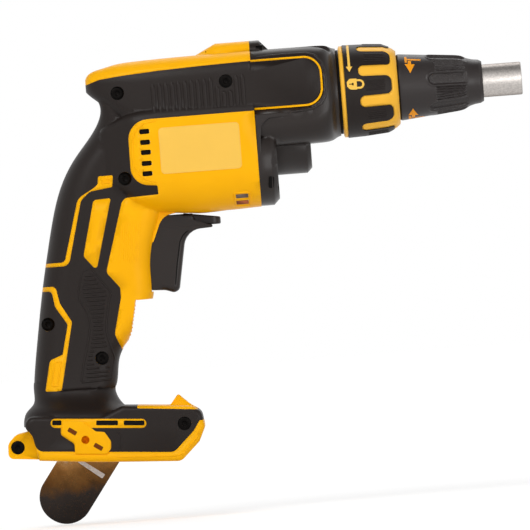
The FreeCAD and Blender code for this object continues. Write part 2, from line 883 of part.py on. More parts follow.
def housing_ribs():
    """What stands inside the housing: cradles, seats and screw bosses."""
    ribs = [
        cradle(stator_front_x - cradle_width, stator_radius, cradle_width),
        cradle(stator_rear_x, stator_radius, cradle_width),
        cradle(tail_bearing_rear_x - wall, tail_bearing_radius, tail_bearing_width + wall),
    ]
    for x, z in screw_places():
        ribs.append(cross_rod(x, z, -foot_half_width, foot_half_width, boss_outer))
    for y, z in case_screw_places():
        ribs.append(rod(joint_x - case_screw_length, joint_x, case_boss_radius, z, y))
    seat = switch_length / 4
    for x in (switch_front_x - seat, switch_front_x - switch_length + seat):
        slab = box(
            x - wall / 2, x + wall / 2, -handle_half_width, handle_half_width,
            pocket_floor_z - wall, trigger_top_z + wall)
        ribs.append(slab.cut(switch_envelope(seat_clearance)))
    x, z = handle_point(*board_shares)
    for lift in (-board_length / 3, board_length / 3):
        slab = box(
            x - handle_depth, x + handle_depth, -handle_half_width, handle_half_width,
            z + lift - wall / 2, z + lift + wall / 2)
        ribs.append(slab.cut(board_envelope(seat_clearance)))
    floor_top = channel_depth + wall
    foot_floor = box(
        -foot_length, foot_length, -foot_half_width, foot_half_width, -foot_height, floor_top)
    ribs.append(foot_to_tool(foot_floor))
    ribs.append(lever_boss())
    return ribs


def lever_boss():
    """The block above the lever that holds its pin."""
    size = 2 * lever_pin_radius + wall
    return box(
        lever_pin_x - size / 2, lever_pin_x + size / 2, -size / 2, size / 2,
        pocket_roof_z, pocket_roof_z + lever_pin_rise + wall)


def case_screw_places():
    """Where the gear case screws go, as (across, up)."""
    return [(side * y, z) for y, z in (case_screw_upper, case_screw_lower) for side in (-1, 1)]


def trigger_pocket():
    """The hollow behind the trigger and over it, open to the front."""
    slot = box(
        pocket_rear_x, throat_x + handle_depth, -pocket_half_width, pocket_half_width,
        pocket_floor_z, pocket_roof_z)
    behind = box(
        switch_front_x - overrun, pocket_rear_x + overrun, -trigger_coil_radius - overrun,
        trigger_coil_radius + overrun, plunger_z - trigger_coil_radius - overrun,
        plunger_z + trigger_coil_radius + overrun)
    return slot.fuse(behind)


def battery_channel():
    """The T slot that a battery slides into from the front."""
    upper = box(
        -channel_rear, foot_length, -channel_half_width, channel_half_width, rail_height, channel_depth)
    throat = channel_half_width - rail_reach
    lower = box(-channel_rear, foot_length, -throat, throat, -foot_height, rail_height + overrun)
    return foot_to_tool(upper.fuse(lower))


def vent_cuts():
    """Intake slots and the exhaust window through the right side's wall."""
    cuts = []
    outside = -foot_half_width - overrun
    inside = 2 * wall - motor_box_half_width
    for along, up in VENT_SHARES:
        x, z = barrel_point(along, up)
        corners = [
            (x - vent_length / 2, z - vent_height / 2, vent_height / 3),
            (x + vent_length / 2, z - vent_height / 2, vent_height / 3),
            (x + vent_length / 2, z + vent_height / 2, vent_height / 3),
            (x - vent_length / 2, z + vent_height / 2, vent_height / 3)]
        cuts.append(prism(corners, outside, inside))
    x0, z0 = barrel_point(*window_low_shares)
    x1, z1 = barrel_point(*window_high_shares)
    bar_low = (z0 + z1 - window_bar) / 2
    bar_high = bar_low + window_bar
    cuts.append(box(x0, x1, outside, inside / 2, z0, bar_low))
    cuts.append(box(x0, x1, outside, inside / 2, bar_high, z1))
    return cuts


def screw_cuts(side):
    """Head recesses with clear holes on the right (-1), pilot holes on the left (+1)."""
    cuts = []
    for x, z, face in SCREW_SEATS:
        if side < 0:
            cuts.append(cross_rod(x, z, -foot_half_width - overrun, recess_depth - face, recess_radius))
            cuts.append(cross_rod(x, z, -face, 0, screw_shank + seat_clearance))
        else:
            cuts.append(cross_rod(x, z, 0, min(screw_grip, face - wall), screw_shank))
    return cuts


def screw_seats():
    """Each cross screw's place with the lowest height of the outside round its head."""
    seats = []
    for x, z in screw_places():
        outside = cross_rod(x, z, -foot_half_width - overrun, 0, screw_head).cut(OUTER)
        seats.append((x, z, -outside.optimalBoundingBox().YMax))
    return seats


OUTER = body_form(0.0)
SCREW_SEATS = screw_seats()
HOOK_X, HOOK_Z = foot_place(*foot_point(*hook_hole_shares))


def button_place():
    """The lock-on button's centre and the housing's face there."""
    x, z = handle_point(*button_shares)
    probe = cross_rod(x, z, 0, foot_half_width, least_radius).common(OUTER)
    return x, z, probe.BoundBox.YMax


def hook_seat_cut(side):
    """The hook screw's pilot hole in one side of the foot."""
    inner = foot_half_width - hook_screw_length
    outer = foot_half_width + overrun
    return cross_rod(HOOK_X, HOOK_Z, min(side * inner, side * outer), max(side * inner, side * outer),
                     hook_screw_radius)


def lamp_slope(ends, shallow, deep, half_width):
    """A flat block set in the fin's front slope, between two depths below it."""
    (x0, z0), (x1, z1) = [foot_point(x, z) for x, z, turn in FIN_SHARES[2:4]]
    top = point(x0, z0)
    slope = point(x1, z1) - top
    along = Vector(slope).normalize()
    inward = Vector(along.z, 0, -along.x)
    start, end = [top + slope * share for share in ends]
    corners = [start + inward * shallow, end + inward * shallow, end + inward * deep, start + inward * deep]
    return foot_to_tool(prism([(spot.x, spot.z, 0.0) for spot in corners], -half_width, half_width))


def lens_slot(proud, grow):
    """The lamp lens's place in the fin's front slope."""
    return lamp_slope(lens_ends_shares, -proud, lens_thickness + grow, lens_half_width + grow)


def lamp_slot(grow):
    """The lamp board's place behind the lens."""
    deep = lens_thickness + lamp_board_thickness
    return lamp_slope(lamp_ends_shares, lens_thickness, deep + grow, lens_half_width - lens_thickness + grow)


def grips_and_shells():
    """The two soft grips and the two housing shells."""
    skin = body_form(overmould)
    hollow = body_form(wall)
    half = right_side()
    right = OUTER.common(half)
    grip = right.cut(skin).cut(yellow_areas()).fuse(tongue_grip())
    ribs = housing_ribs()
    hollow = hollow.cut(ribs)
    openings = [hollow, trigger_pocket(), battery_channel()]
    openings += [lens_slot(overrun, seat_clearance), lamp_slot(seat_clearance)] + vent_cuts()
    pin_foot = point(lever_pin_x, pocket_roof_z - overrun)
    openings.append(Part.makeCylinder(lever_pin_radius, lever_pin_rise + overrun, pin_foot, Vector(0, 0, 1)))
    screw_end = joint_x - case_screw_length - overrun
    for y, z in case_screw_places():
        openings.append(rod(screw_end, joint_x + overrun, case_screw_shank, z, y))
    shell = right.fuse(tongue()).cut([grip] + openings)
    grip = grip.cut([trigger_pocket(), battery_channel()])
    mirror = [shape.mirror(Vector(0, 0, 0), Vector(0, 1, 0)) for shape in (grip, shell)]
    button_x, button_z, face = button_place()
    button_hole = cross_rod(button_x, button_z, 0, face + overrun, button_radius + loose_clearance)
    button_end = face + button_proud - button_length
    chamber_top = button_end + button_flange_thickness + seat_clearance
    button_chamber = cross_rod(button_x, button_z, button_end - button_travel - loose_clearance, chamber_top,
                               button_radius + button_flange + loose_clearance)
    right_cuts = screw_cuts(-1) + [hook_seat_cut(-1)]
    left_cuts = screw_cuts(1) + [hook_seat_cut(1), button_hole, button_chamber]
    return {
        "grip_right": grip.cut(right_cuts), "housing_right": shell.cut(right_cuts),
        "grip_left": mirror[0].cut(left_cuts), "housing_left": mirror[1].cut(left_cuts)}


def gear_case():
    """The gear case: rounded body, lower flange and boss, roof bump and nose neck."""
    rows = []
    for along, half, top, low, turn in even_rows(CASE_SHARES, form_rows):
        rows.append((
            joint_x + along * case_length, low * barrel_rise, top * barrel_rise, half * case_half_width,
            turn * case_front_radius, turn * case_front_radius))
    body = loft_along_x(rows, 0.0)
    flange_front = joint_x + flange_thickness
    low = motor_z - motor_box_half_height
    high = motor_z + motor_box_half_height / 2
    half = motor_box_half_width - seat_clearance
    flange_rows = [(joint_x, 0.0), (flange_front - flange_bevel, 0.0), (flange_front, flange_bevel)]
    rows = [(x, low + draw, high, half - draw, motor_box_round - draw, motor_box_round - draw)
            for x, draw in flange_rows]
    flange = [loft_along_x(rows[start:start + 2], 0.0) for start in (0, 1)]
    boss_front = joint_x + boss_reach
    boss = turned([
        (joint_x, 0), (joint_x, boss_radius), (boss_front - boss_bevel, boss_radius),
        (boss_front, boss_radius - boss_bevel), (boss_front, 0)], motor_z)
    web = box(joint_x, boss_front - boss_bevel, -boss_radius, boss_radius, motor_z, 0)
    bump_flat = joint_x + flange_thickness / 2
    bump_front = joint_x + flange_thickness
    slope = bump_rise - barrel_rise
    bump_rows = [(joint_x, bump_rise), (bump_flat, bump_rise), (bump_front, bump_rise - slope)]
    rows = [(x, 0.0, top, bump_half_width, bump_round, bump_round) for x, top in bump_rows]
    bump = [loft_along_x(rows[start:start + 2], 0.0) for start in (0, 1)]
    neck = rod(case_front_x - overrun, neck_front_x, neck_radius)
    whole = fused([body, boss, web, neck] + flange + bump)
    return whole.cut(gear_case_cuts())


def gear_case_cuts():
    """The gear case's chambers, bores, tongue pockets and screw holes."""
    chamber = gear_tip_radius + loose_clearance
    clutch_chamber = washer_radius + seat_clearance
    cuts = [
        rod(joint_x - overrun, gear_front_x + loose_clearance, chamber),
        rod(joint_x, shoulder_x, clutch_chamber),
        rod(joint_x, front_bearing_x, front_bearing_radius),
        rod(joint_x, neck_front_x + overrun, carrier_radius + running_clearance),
        rod(joint_x - overrun, motor_bearing_rear_x, pinion_clear_radius, motor_z),
        rod(joint_x, motor_bearing_rear_x + motor_bearing_width, motor_bearing_radius, motor_z),
        tube(
            collar_ring_x - seat_clearance, collar_ring_x + collar_ring_width + seat_clearance,
            neck_radius + overrun, neck_radius - collar_ring_width),
    ]
    inner = barrel_half_width - tongue_thickness - seat_clearance
    pocket = prism(tongue_outline(seat_clearance), -barrel_half_width - overrun, -inner)
    cuts += [pocket, pocket.mirror(Vector(0, 0, 0), Vector(0, 1, 0))]
    seat_x = joint_x + flange_thickness - flange_bevel - case_screw_head_height
    for y, z in case_screw_places():
        cuts.append(rod(joint_x - overrun, seat_x + overrun, case_screw_shank + seat_clearance, z, y))
        cuts.append(rod(seat_x, case_front_x, case_screw_head + loose_clearance, z, y))
    return cuts


def drive_recess(tip, axis):
    """A six-sided driver recess at a screw's head."""
    corners = []
    reach = drive_flats / math.sqrt(3)
    side = axis.cross(Vector(0, 0, 1)).normalize()
    for step in range(6):
        turn = math.radians(60 * step)
        corners.append(tip + side * (reach * math.cos(turn)) + Vector(0, 0, reach * math.sin(turn)))
    face = Part.Face(Part.makePolygon(corners + corners[:1]))
    return face.extrude(axis * -drive_depth)


def case_screws():
    """The four screws that hold the gear case to the housing."""
    seat_x = joint_x + flange_thickness - flange_bevel - case_screw_head_height
    screws = []
    for y, z in case_screw_places():
        head = rod(seat_x, seat_x + case_screw_head_height, case_screw_head, z, y)
        shank = rod(joint_x - case_screw_length + overrun, seat_x + overrun / 2, case_screw_shank, z, y)
        tip = Vector(seat_x + case_screw_head_height, y, z)
        screws.append(head.fuse(shank).cut(drive_recess(tip, Vector(1, 0, 0))))
    return Part.makeCompound(screws)


def housing_screws():
    """The cross screws that close the housing."""
    screws = []
    for x, z, face in SCREW_SEATS:
        seat = recess_depth - face
        head = cross_rod(x, z, seat - screw_head_height, seat, screw_head)
        end = min(screw_grip, face - wall) - overrun
        shank = cross_rod(x, z, seat - screw_head_height / 2, end, screw_shank)
        tip = Vector(x, seat - screw_head_height, z)
        screws.append(head.fuse(shank).cut(drive_recess(tip, Vector(0, -1, 0))))
    return Part.makeCompound(screws)


def bearing_plate():
    """The plate that closes the gear case and holds the spindle's rear bearing."""
    rear = joint_x - plate_thickness
    disc = rod(rear, joint_x, plate_radius)
    lower = rod(rear, joint_x, plate_motor_radius, motor_z)
    bearing_x = joint_x - rear_bearing_width
    cuts = [
        rod(bearing_x, joint_x + overrun, rear_bearing_radius),
        rod(rear - overrun, joint_x + overrun, pinion_clear_radius, motor_z)]
    for y, z in case_screw_places():
        cuts.append(rod(rear - overrun, joint_x + overrun, case_boss_radius + seat_clearance, z, y))
    return disc.fuse(lower).cut(cuts)


def ball_ring(x, width, outer, inner, count, z=0.0):
    """The balls of a bearing, as separate solids."""
    middle = (outer + inner) / 2
    size = (outer - inner) / 2 - race_thickness + loose_clearance
    balls = []
    for step in range(count):
        turn = 2 * math.pi * step / count
        spot = Vector(x + width / 2, middle * math.cos(turn), z + middle * math.sin(turn))
        balls.append(Part.makeSphere(size, spot))
    return Part.makeCompound(balls)


def race_groove(grow):
    """The ball track between the front bearing's rings."""
    inner = spindle_radius + running_clearance
    middle = (front_bearing_radius + inner) / 2
    size = (front_bearing_radius - inner) / 2 - race_thickness + loose_clearance + grow
    x = front_bearing_x - front_bearing_width / 2
    return Part.makeTorus(middle, size, Vector(x, 0, 0), Vector(1, 0, 0))


def front_bearing():
    """The spindle's front bearing: outer ring, balls and inner ring."""
    x0 = front_bearing_x - front_bearing_width
    inner = spindle_radius + running_clearance
    track = race_groove(running_clearance)
    outer_ring = tube(x0, front_bearing_x, front_bearing_radius, front_bearing_radius - race_thickness)
    inner_ring = tube(x0, front_bearing_x, inner + race_thickness, inner)
    balls = ball_ring(x0, front_bearing_width, front_bearing_radius, inner, bearing_ball_count)
    return {
        "spindle_bearing_outer": outer_ring.cut(track), "spindle_bearing_balls": balls,
        "spindle_bearing_inner": inner_ring.cut(track)}


def hex_rod(x0, x1, flats):
    """A six-sided bar along X."""
    reach = flats / math.sqrt(3)
    corners = []
    for step in range(6):
        turn = math.radians(60 * step)
        corners.append(Vector(x0, reach * math.cos(turn), reach * math.sin(turn)))
    return Part.Face(Part.makePolygon(corners + corners[:1])).extrude(Vector(x1 - x0, 0, 0))


def spindle():
    """The output spindle with its bit holder and hex socket."""
    rear = joint_x - rear_bearing_width + clutch_travel + loose_clearance
    bar = fused([
        rod(rear, spindle_shoulder_x + overrun, journal_radius),
        rod(spindle_shoulder_x, holder_rear_x, spindle_radius),
        rod(holder_rear_x - overrun, -holder_tip, holder_radius)])
    socket = hex_rod(-holder_tip - hex_depth, -holder_tip + overrun, hex_flats)
    pocket = rod(-holder_tip - hex_depth - magnet_length, -holder_tip, magnet_radius())
    groove = tube(
        bit_ring_x, bit_ring_x + bit_ring_width, holder_radius + overrun, holder_radius - bit_ring_depth)
    return bar.cut([socket, pocket, groove])


def magnet_radius():
    """The bit magnet's radius, inside the hex socket's flats."""
    return hex_flats / 2 - loose_clearance


def bit_pieces():
    """The magnet behind the bit and the spring ring round the holder."""
    magnet = rod(-holder_tip - hex_depth - magnet_length, -holder_tip - hex_depth, magnet_radius())
    ring = tube(bit_ring_x, bit_ring_x + bit_ring_width, holder_radius, holder_radius - bit_ring_depth)
    slot = box(
        bit_ring_x - overrun, bit_ring_x + bit_ring_width + overrun, -bit_ring_width, bit_ring_width,
        0, holder_radius + overrun)
    return {"bit_magnet": magnet, "bit_retaining_ring": ring.cut(slot)}


def dogs(x0, x1, offset):
    """Clutch dogs as sectors of a ring, spaced round the axis."""
    pieces = []
    for step in range(dog_count):
        ring = Part.makeCylinder(
            dog_outer_radius, x1 - x0, Vector(x0, 0, 0), Vector(1, 0, 0), dog_angle)
        hole = rod(x0 - overrun, x1 + overrun, dog_inner_radius)
        piece = ring.cut(hole)
        piece.rotate(Vector(0, 0, 0), Vector(1, 0, 0), offset + 360 * step / dog_count)
        pieces.append(piece)
    return pieces


def clutch_disc():
    """The driven half of the clutch, fixed on the spindle."""
    disc = rod(disc_rear_x, disc_front_x, disc_radius)
    whole = fused([disc] + dogs(disc_rear_x - dog_height, disc_rear_x + overrun / 2, 0.0))
    return whole.cut(rod(disc_rear_x - overrun, disc_front_x + overrun, spindle_radius))


def gear_outline(teeth, thinning, start):
    """The corners of a spur gear's involute outline about the X axis, first tooth at start."""
    pitch = gear_module * teeth / 2
    tip = pitch + addendum_share * gear_module
    root = pitch - dedendum_share * gear_module
    pressure = math.radians(pressure_angle)
    base = pitch * math.cos(pressure)
    half = math.pi / (2 * teeth) - thinning / (2 * pitch)

    def flank(radius):
        """The tooth's half angle at a radius."""
        if radius <= base:
            return half + math.tan(pressure) - pressure
        roll = math.acos(base / radius)
        return half + math.tan(pressure) - pressure - math.tan(roll) + roll

    low = max(base, root)
    radii = [root] + [low + (tip - low) * step / flank_points for step in range(flank_points + 1)]
    if root >= base:
        radii = radii[1:]
    corners = []
    for tooth in range(teeth):
        middle = start + 2 * math.pi * tooth / teeth
        left = [(radius, middle - flank(radius)) for radius in radii]
        right = [(radius, middle + flank(radius)) for radius in reversed(radii)]
        corners += left + right
    return [(radius * math.cos(turn), radius * math.sin(turn)) for radius, turn in corners]


def spur_gear(x0, x1, teeth, start, z=0.0):
    """A solid spur gear about an axis along X."""
    corners = [Vector(x0, y, z + up) for y, up in gear_outline(teeth, tooth_backlash / 2, start)]
    return Part.Face(Part.makePolygon(corners + corners[:1])).extrude(Vector(x1 - x0, 0, 0))


def spindle_gear():
    """The spindle gear with the clutch's driving dogs on its face."""
    start = -math.pi / 2 + math.pi / gear_teeth
    wheel = spur_gear(gear_rear_x, gear_front_x, gear_teeth, start)
    whole = fused([wheel] + dogs(gear_front_x - overrun / 2, gear_front_x + dog_height, 180.0 / dog_count))
    bore = rod(gear_rear_x - overrun, gear_front_x + overrun, spindle_radius + running_clearance)
    hub_recess = tube(gear_rear_x - overrun, gear_rear_x + gear_width / 4, gear_tip_radius - 4 * gear_module,
                      journal_radius + wall + running_clearance)
    return whole.cut([bore, hub_recess])


def pinion():
    """The motor pinion, fixed on the rotor shaft."""
    wheel = spur_gear(gear_rear_x, gear_rear_x + pinion_width, pinion_teeth, math.pi / 2, motor_z)
    return wheel.cut(rod(gear_rear_x - overrun, gear_rear_x + pinion_width + overrun, shaft_radius, motor_z))


def coil(start, axis, length, radius, wire, turns):
    """A spring of round wire, its helix drawn as arcs of a quarter turn."""
    rise = (length - 2 * wire) / turns
    steps = int(round(turns * 8))
    spots = []
    for step in range(steps + 1):
        turn = 2 * math.pi * step / 8
        spots.append(Vector(radius * math.cos(turn), radius * math.sin(turn), wire + rise * step / 8))
    arcs = [Part.Arc(*spots[step:step + 3]).toShape() for step in range(0, steps - 1, 2)]
    path = Part.Wire(arcs)
    first = path.Edges[0]
    ring = Part.Wire(Part.makeCircle(wire / 2, spots[0], first.tangentAt(first.FirstParameter)))
    spring = path.makePipeShell([ring], True, False)
    turn_to = FreeCAD.Rotation(Vector(0, 0, 1), axis)
    spring.Placement = FreeCAD.Placement(start, turn_to)
    return spring


def clutch_spring():
    """The spring that holds the clutch apart."""
    return coil(Vector(gear_front_x, 0, 0), Vector(1, 0, 0), disc_rear_x - gear_front_x,
                clutch_coil_radius, clutch_wire, clutch_turns)


def spindle_rings():
    """Washer, spacer, seal and rear bearing on the spindle."""
    spacer_outer = front_bearing_radius - seat_clearance
    rear_x = joint_x - rear_bearing_width
    bearing_rear = front_bearing_x - front_bearing_width
    seal_x = front_bearing_x + seat_clearance
    return {
        "thrust_washer": tube(washer_rear_x, shoulder_x, washer_radius, spindle_radius + loose_clearance),
        "bearing_spacer": tube(shoulder_x, bearing_rear, spacer_outer, spacer_outer - spacer_wall),
        "spindle_seal": tube(seal_x, seal_x + seal_width, carrier_radius, spindle_radius + loose_clearance),
        "spindle_rear_bearing": tube(rear_x, joint_x, rear_bearing_radius,
                                     journal_radius + running_clearance)}


def nose_carrier():
    """The fixed sleeve of the nose: plug, flange and the spigot that the cone turns on."""
    sleeve = fused([
        rod(carrier_rear_x, neck_front_x + overrun, carrier_radius),
        rod(neck_front_x, flange_front_x, carrier_flange_radius),
        rod(flange_front_x - overrun, spigot_front_x, carrier_radius)])
    bore = rod(carrier_rear_x - overrun, spigot_front_x + overrun, locator_radius + running_clearance)
    ring_groove = tube(ring_x() - ring_section, ring_x() + ring_section, carrier_radius + overrun,
                       carrier_radius - 2 * ring_section)
    snap_groove = tube(
        snap_x(), snap_x() + snap_width, carrier_radius + overrun, carrier_radius - snap_depth)
    reach = locator_travel + key_radius + loose_clearance
    half = key_radius + loose_clearance
    key_slot = box(key_x() - reach, key_x() + reach, -half, half, -carrier_radius - overrun, 0)
    return sleeve.cut([bore, ring_groove, snap_groove, key_slot])


def ring_x():
    """The O-ring's place, half way along the plug."""
    return (carrier_rear_x + neck_front_x) / 2


def snap_x():
    """The rear of the snap ring that keeps the cone on the spigot."""
    return spigot_front_x - snap_inset - snap_width


def key_x():
    """The key pin's place along the locator."""
    return key_inset - locator_length


def nose_rings():
    """O-ring on the carrier's plug, snap ring on its spigot, retaining ring on the neck."""
    torus = Part.makeTorus(carrier_radius - ring_section, ring_section - seat_clearance,
                           Vector(ring_x(), 0, 0), Vector(1, 0, 0))
    snap = tube(snap_x(), snap_x() + snap_width, carrier_radius + snap_depth, carrier_radius - snap_depth)
    keeper = tube(collar_ring_x, collar_ring_x + collar_ring_width, neck_radius + collar_ring_width,
                  neck_radius - collar_ring_width)
    gap_top = neck_radius + overrun + collar_ring_width
    gap = box(joint_x, 0, -collar_ring_width, collar_ring_width, 0, gap_top)
    return {
        "carrier_o_ring": torus, "cone_snap_ring": snap.cut(gap), "collar_retaining_ring": keeper.cut(gap)}


def nose_cone():
    """The cone that is turned to set the depth."""
    outline = [(cone_rear_x, 0)]
    for along, share in CONE_SHARES:
        outline.append((cone_rear_x + along * cone_length, share * cone_rear_radius))
    outline.append((cone_front_x, 0))
    bore = rod(cone_rear_x - overrun, spigot_front_x + loose_clearance, carrier_radius + running_clearance)
    mouth = rod(cone_rear_x, cone_front_x + overrun, locator_radius + loose_clearance)
    groove = rod(snap_x() - loose_clearance, snap_x() + snap_width + loose_clearance,
                 carrier_radius + snap_depth + loose_clearance)
    return turned(outline).cut([bore, mouth, groove])


def depth_locator():
    """The steel sleeve whose mouth sets the screw depth."""
    sleeve = rod(-locator_length, 0, locator_radius)
    bore = rod(-locator_length - overrun, overrun, locator_bore)
    mouth = rod(-mouth_depth, overrun, mouth_radius)
    hole = Part.makeCylinder(key_radius, locator_radius, point(key_x(), -locator_radius), Vector(0, 0, 1))
    return sleeve.cut([bore, mouth, hole])


def key_pin():
    """The pin that keeps the locator from turning."""
    depth = locator_radius - locator_bore - loose_clearance
    low = -locator_radius - key_reach
    pin = Part.makeCylinder(key_radius, key_reach + depth, point(key_x(), low), Vector(0, 0, 1))
    return pin


def collar_outline(inset):
    """The collar's outside as (x, radius) corners, drawn in by the inset."""
    return [(collar_rear_x + along * collar_length, share * collar_rear_radius - inset)
            for along, share in COLLAR_SHARES]


def collar_solid(inset):
    """The collar's outside as a solid of revolution."""
    outline = collar_outline(inset)
    return turned([(outline[0][0], 0)] + outline + [(outline[-1][0], 0)])


def collar():
    """The collar's stiff ring and its soft lobes."""
    whole = collar_solid(0.0)
    layer = whole.cut(collar_solid(collar_grip_depth))
    rear = collar_rear_x + collar_rim
    front = collar_front_x - collar_front_band
    layer = layer.common(tube(rear, front, collar_rear_radius + overrun, neck_radius))
    end = collar_rear_x + finger_rear_share * collar_length
    half = collar_finger_width / 2
    root = half + collar_lobe_round + loose_clearance
    cap = half - least_radius
    edge = [(front + overrun, root, 0.0), (front, root, 0.0), (front, half, collar_lobe_round),
            (end, half, cap)]
    outline = edge + [(x, -z, turn) for x, z, turn in reversed(edge)]
    fingers = []
    for step in range(collar_finger_count):
        finger = prism(outline, 0, collar_rear_radius + overrun)
        turn = 90 + 360 * (step + finger_turn_share) / collar_finger_count
        finger.rotate(Vector(0, 0, 0), Vector(1, 0, 0), turn)
        fingers.append(finger)
    soft = layer.cut(fingers)
    bore = rod(collar_rear_x - overrun, collar_front_x + overrun, neck_radius + running_clearance)
    front_bore = rod(collar_ring_x - loose_clearance, collar_front_x + overrun,
                     neck_radius + collar_ring_width + loose_clearance)
    return {"collar_ring": whole.cut([soft, bore, front_bore]), "collar_grip": soft}


def stator():
    """The stator's core and its windings."""
    bore = rotor_radius + motor_gap
    core = tube(stator_rear_x, stator_front_x, stator_radius, bore, motor_z)
    ring_inner = bore + wall / 2
    ring_outer = stator_radius - wall / 2
    slots = []
    bars = []
    slot = (ring_outer - ring_inner) * slot_width_share
    for step in range(stator_slot_count):
        turn = 360 * step / stator_slot_count
        for pieces, grow, ends in ((slots, seat_clearance, overrun), (bars, 0.0, overrun / 2)):
            bar = box(stator_rear_x - ends, stator_front_x + ends, -slot / 2 - grow, slot / 2 + grow,
                      motor_z + ring_inner - grow, motor_z + ring_outer - wall / 2 + grow)
            bar.rotate(point(0, motor_z), Vector(1, 0, 0), turn)
            pieces.append(bar)
    rings = [tube(stator_front_x, winding_front_x, ring_outer, ring_inner, motor_z),
             tube(winding_rear_x, stator_rear_x, ring_outer, ring_inner, motor_z)]
    return {"stator_core": core.cut(slots), "stator_windings": fused(rings + bars)}


def motor_rings():
    """The sensor board and the two motor bearings."""
    board_x = winding_rear_x - sensor_board_thickness
    running = shaft_radius + running_clearance
    front_x = motor_bearing_rear_x + motor_bearing_width
    return {
        "sensor_board": tube(board_x, winding_rear_x, stator_radius - wall / 2, fan_hub_radius, motor_z),
        "motor_rear_bearing": tube(
            tail_bearing_rear_x, tail_bearing_front_x, tail_bearing_radius, running, motor_z),
        "motor_front_bearing": tube(
            motor_bearing_rear_x, front_x, motor_bearing_radius, running, motor_z)}


def rotor():
    """The rotor: shaft, core and four magnets."""
    shaft = rod(tail_bearing_rear_x, motor_bearing_rear_x + motor_bearing_width, shaft_radius, motor_z)
    core_radius = rotor_radius - magnet_thickness
    core = tube(stator_rear_x, stator_front_x, core_radius, shaft_radius, motor_z)
    ring = tube(stator_rear_x, stator_front_x, rotor_radius, core_radius, motor_z)
    gap = magnet_thickness / 2
    reach = rotor_radius + overrun
    rear = stator_rear_x - overrun
    front = stator_front_x + overrun
    cross = [box(rear, front, -gap, gap, motor_z - reach, motor_z + reach),
             box(rear, front, -reach, reach, motor_z - gap, motor_z + gap)]
    magnets = Part.makeCompound(ring.cut(cross).Solids)
    return {"rotor_shaft": shaft, "rotor_core": core, "rotor_magnets": magnets}


def cooling_fan():
    """The fan on the rotor shaft, in front of the stator."""
    pieces = [tube(fan_rear_x, fan_front_x, fan_hub_radius, shaft_radius, motor_z),
              tube(fan_front_x - fan_disc, fan_front_x, fan_radius, shaft_radius, motor_z)]
    for step in range(fan_blade_count):
        blade = box(fan_rear_x, fan_front_x, -fan_blade / 2, fan_blade / 2,
                    motor_z + fan_hub_radius - fan_blade, motor_z + fan_radius - fan_blade)
        blade.rotate(point(0, motor_z), Vector(1, 0, 0), 360 * step / fan_blade_count)
        pieces.append(blade)
    return fused(pieces)


def trigger():
    """The trigger's finger piece."""
    height = trigger_top_z - pocket_floor_z - loose_clearance
    corners = [(trigger_rear_x + x * trigger_travel, trigger_top_z - z * height, turn * trigger_travel)
               for x, z, turn in TRIGGER_SHARES]
    return prism(corners, -trigger_half_width, trigger_half_width)


def trigger_pieces():
    """The plunger, its spring and the switch."""
    plunger = rod(trigger_rear_x - plunger_length, trigger_rear_x, plunger_radius, plunger_z)
    spring = coil(point(switch_front_x, plunger_z), Vector(1, 0, 0), trigger_rear_x - switch_front_x,
                  trigger_coil_radius, trigger_wire, trigger_turns)
    bore_end = trigger_rear_x - plunger_length - trigger_travel - loose_clearance
    bore = rod(bore_end, switch_front_x + overrun, plunger_radius + running_clearance, plunger_z)
    switch = switch_envelope(0.0).cut(bore)
    return {"trigger_plunger": plunger, "trigger_spring": spring, "trigger_switch": switch}


def reverse_lever():
    """The forward and reverse lever, swinging on an upright pin above the trigger."""
    root_end = lever_pin_x + lever_root_length - lever_root_half_width
    tip = throat_x + lever_reach - lever_bar_half_width
    up = Vector(0, 0, 1)
    low = lever_bottom_z
    pieces = [
        Part.makeCylinder(lever_root_half_width, lever_root_thickness, point(lever_pin_x, low), up),
        box(lever_pin_x, root_end, -lever_root_half_width, lever_root_half_width, low, lever_top_z),
        box(root_end - overrun, tip, -lever_bar_half_width, lever_bar_half_width, low,
            low + lever_thickness),
        Part.makeCylinder(lever_bar_half_width, lever_thickness, point(tip, low), up)]
    hole = Part.makeCylinder(
        lever_pin_radius + running_clearance, lever_root_thickness + 2 * overrun,
        point(lever_pin_x, low - overrun), up)
    pin = Part.makeCylinder(
        lever_pin_radius, lever_root_thickness + lever_pin_rise,
        point(lever_pin_x, low + loose_clearance), up)
    return {"reverse_lever": fused(pieces).cut(hole), "reverse_lever_pin": pin}


def lock_on_button():
    """The lock-on button in the left shell, kept in by its flange."""
    x, z, face = button_place()
    outer = face + button_proud
    stem = cross_rod(x, z, outer - button_length, outer, button_radius)
    flange = cross_rod(x, z, outer - button_length, outer - button_length + button_flange_thickness,
                       button_radius + button_flange)
    rim = [edge for edge in stem.Edges if abs(edge.CenterOfMass.y - outer) < least_radius]
    return stem.makeFillet(button_proud / 2, rim[:1]).fuse(flange)


def control_pieces():
    """The control board with its heat sink and capacitor."""
    half = board_thickness / 2
    board = box(-board_depth / 2, board_depth / 2, -half, half, -board_length / 2, board_length / 2)
    back = -half - sink_thickness
    sink = box(-board_depth / 2, board_depth / 2, back, -half, -board_length / 2, board_length / 2)
    fin = sink_thickness / 3
    count = int(board_depth / (2 * fin))
    grooves = []
    for step in range(count):
        x = -board_depth / 2 + fin / 2 + step * 2 * fin
        grooves.append(box(x, x + fin, back - overrun, -half - fin, -board_length, board_length))
    stand = point(0, -capacitor_length / 2, half + capacitor_radius)
    capacitor = Part.makeCylinder(capacitor_radius, capacitor_length, stand, Vector(0, 0, 1))
    pieces = {"control_board": board, "heat_sink": sink.cut(grooves), "capacitor": capacitor}
    return {name: board_place(shape) for name, shape in pieces.items()}


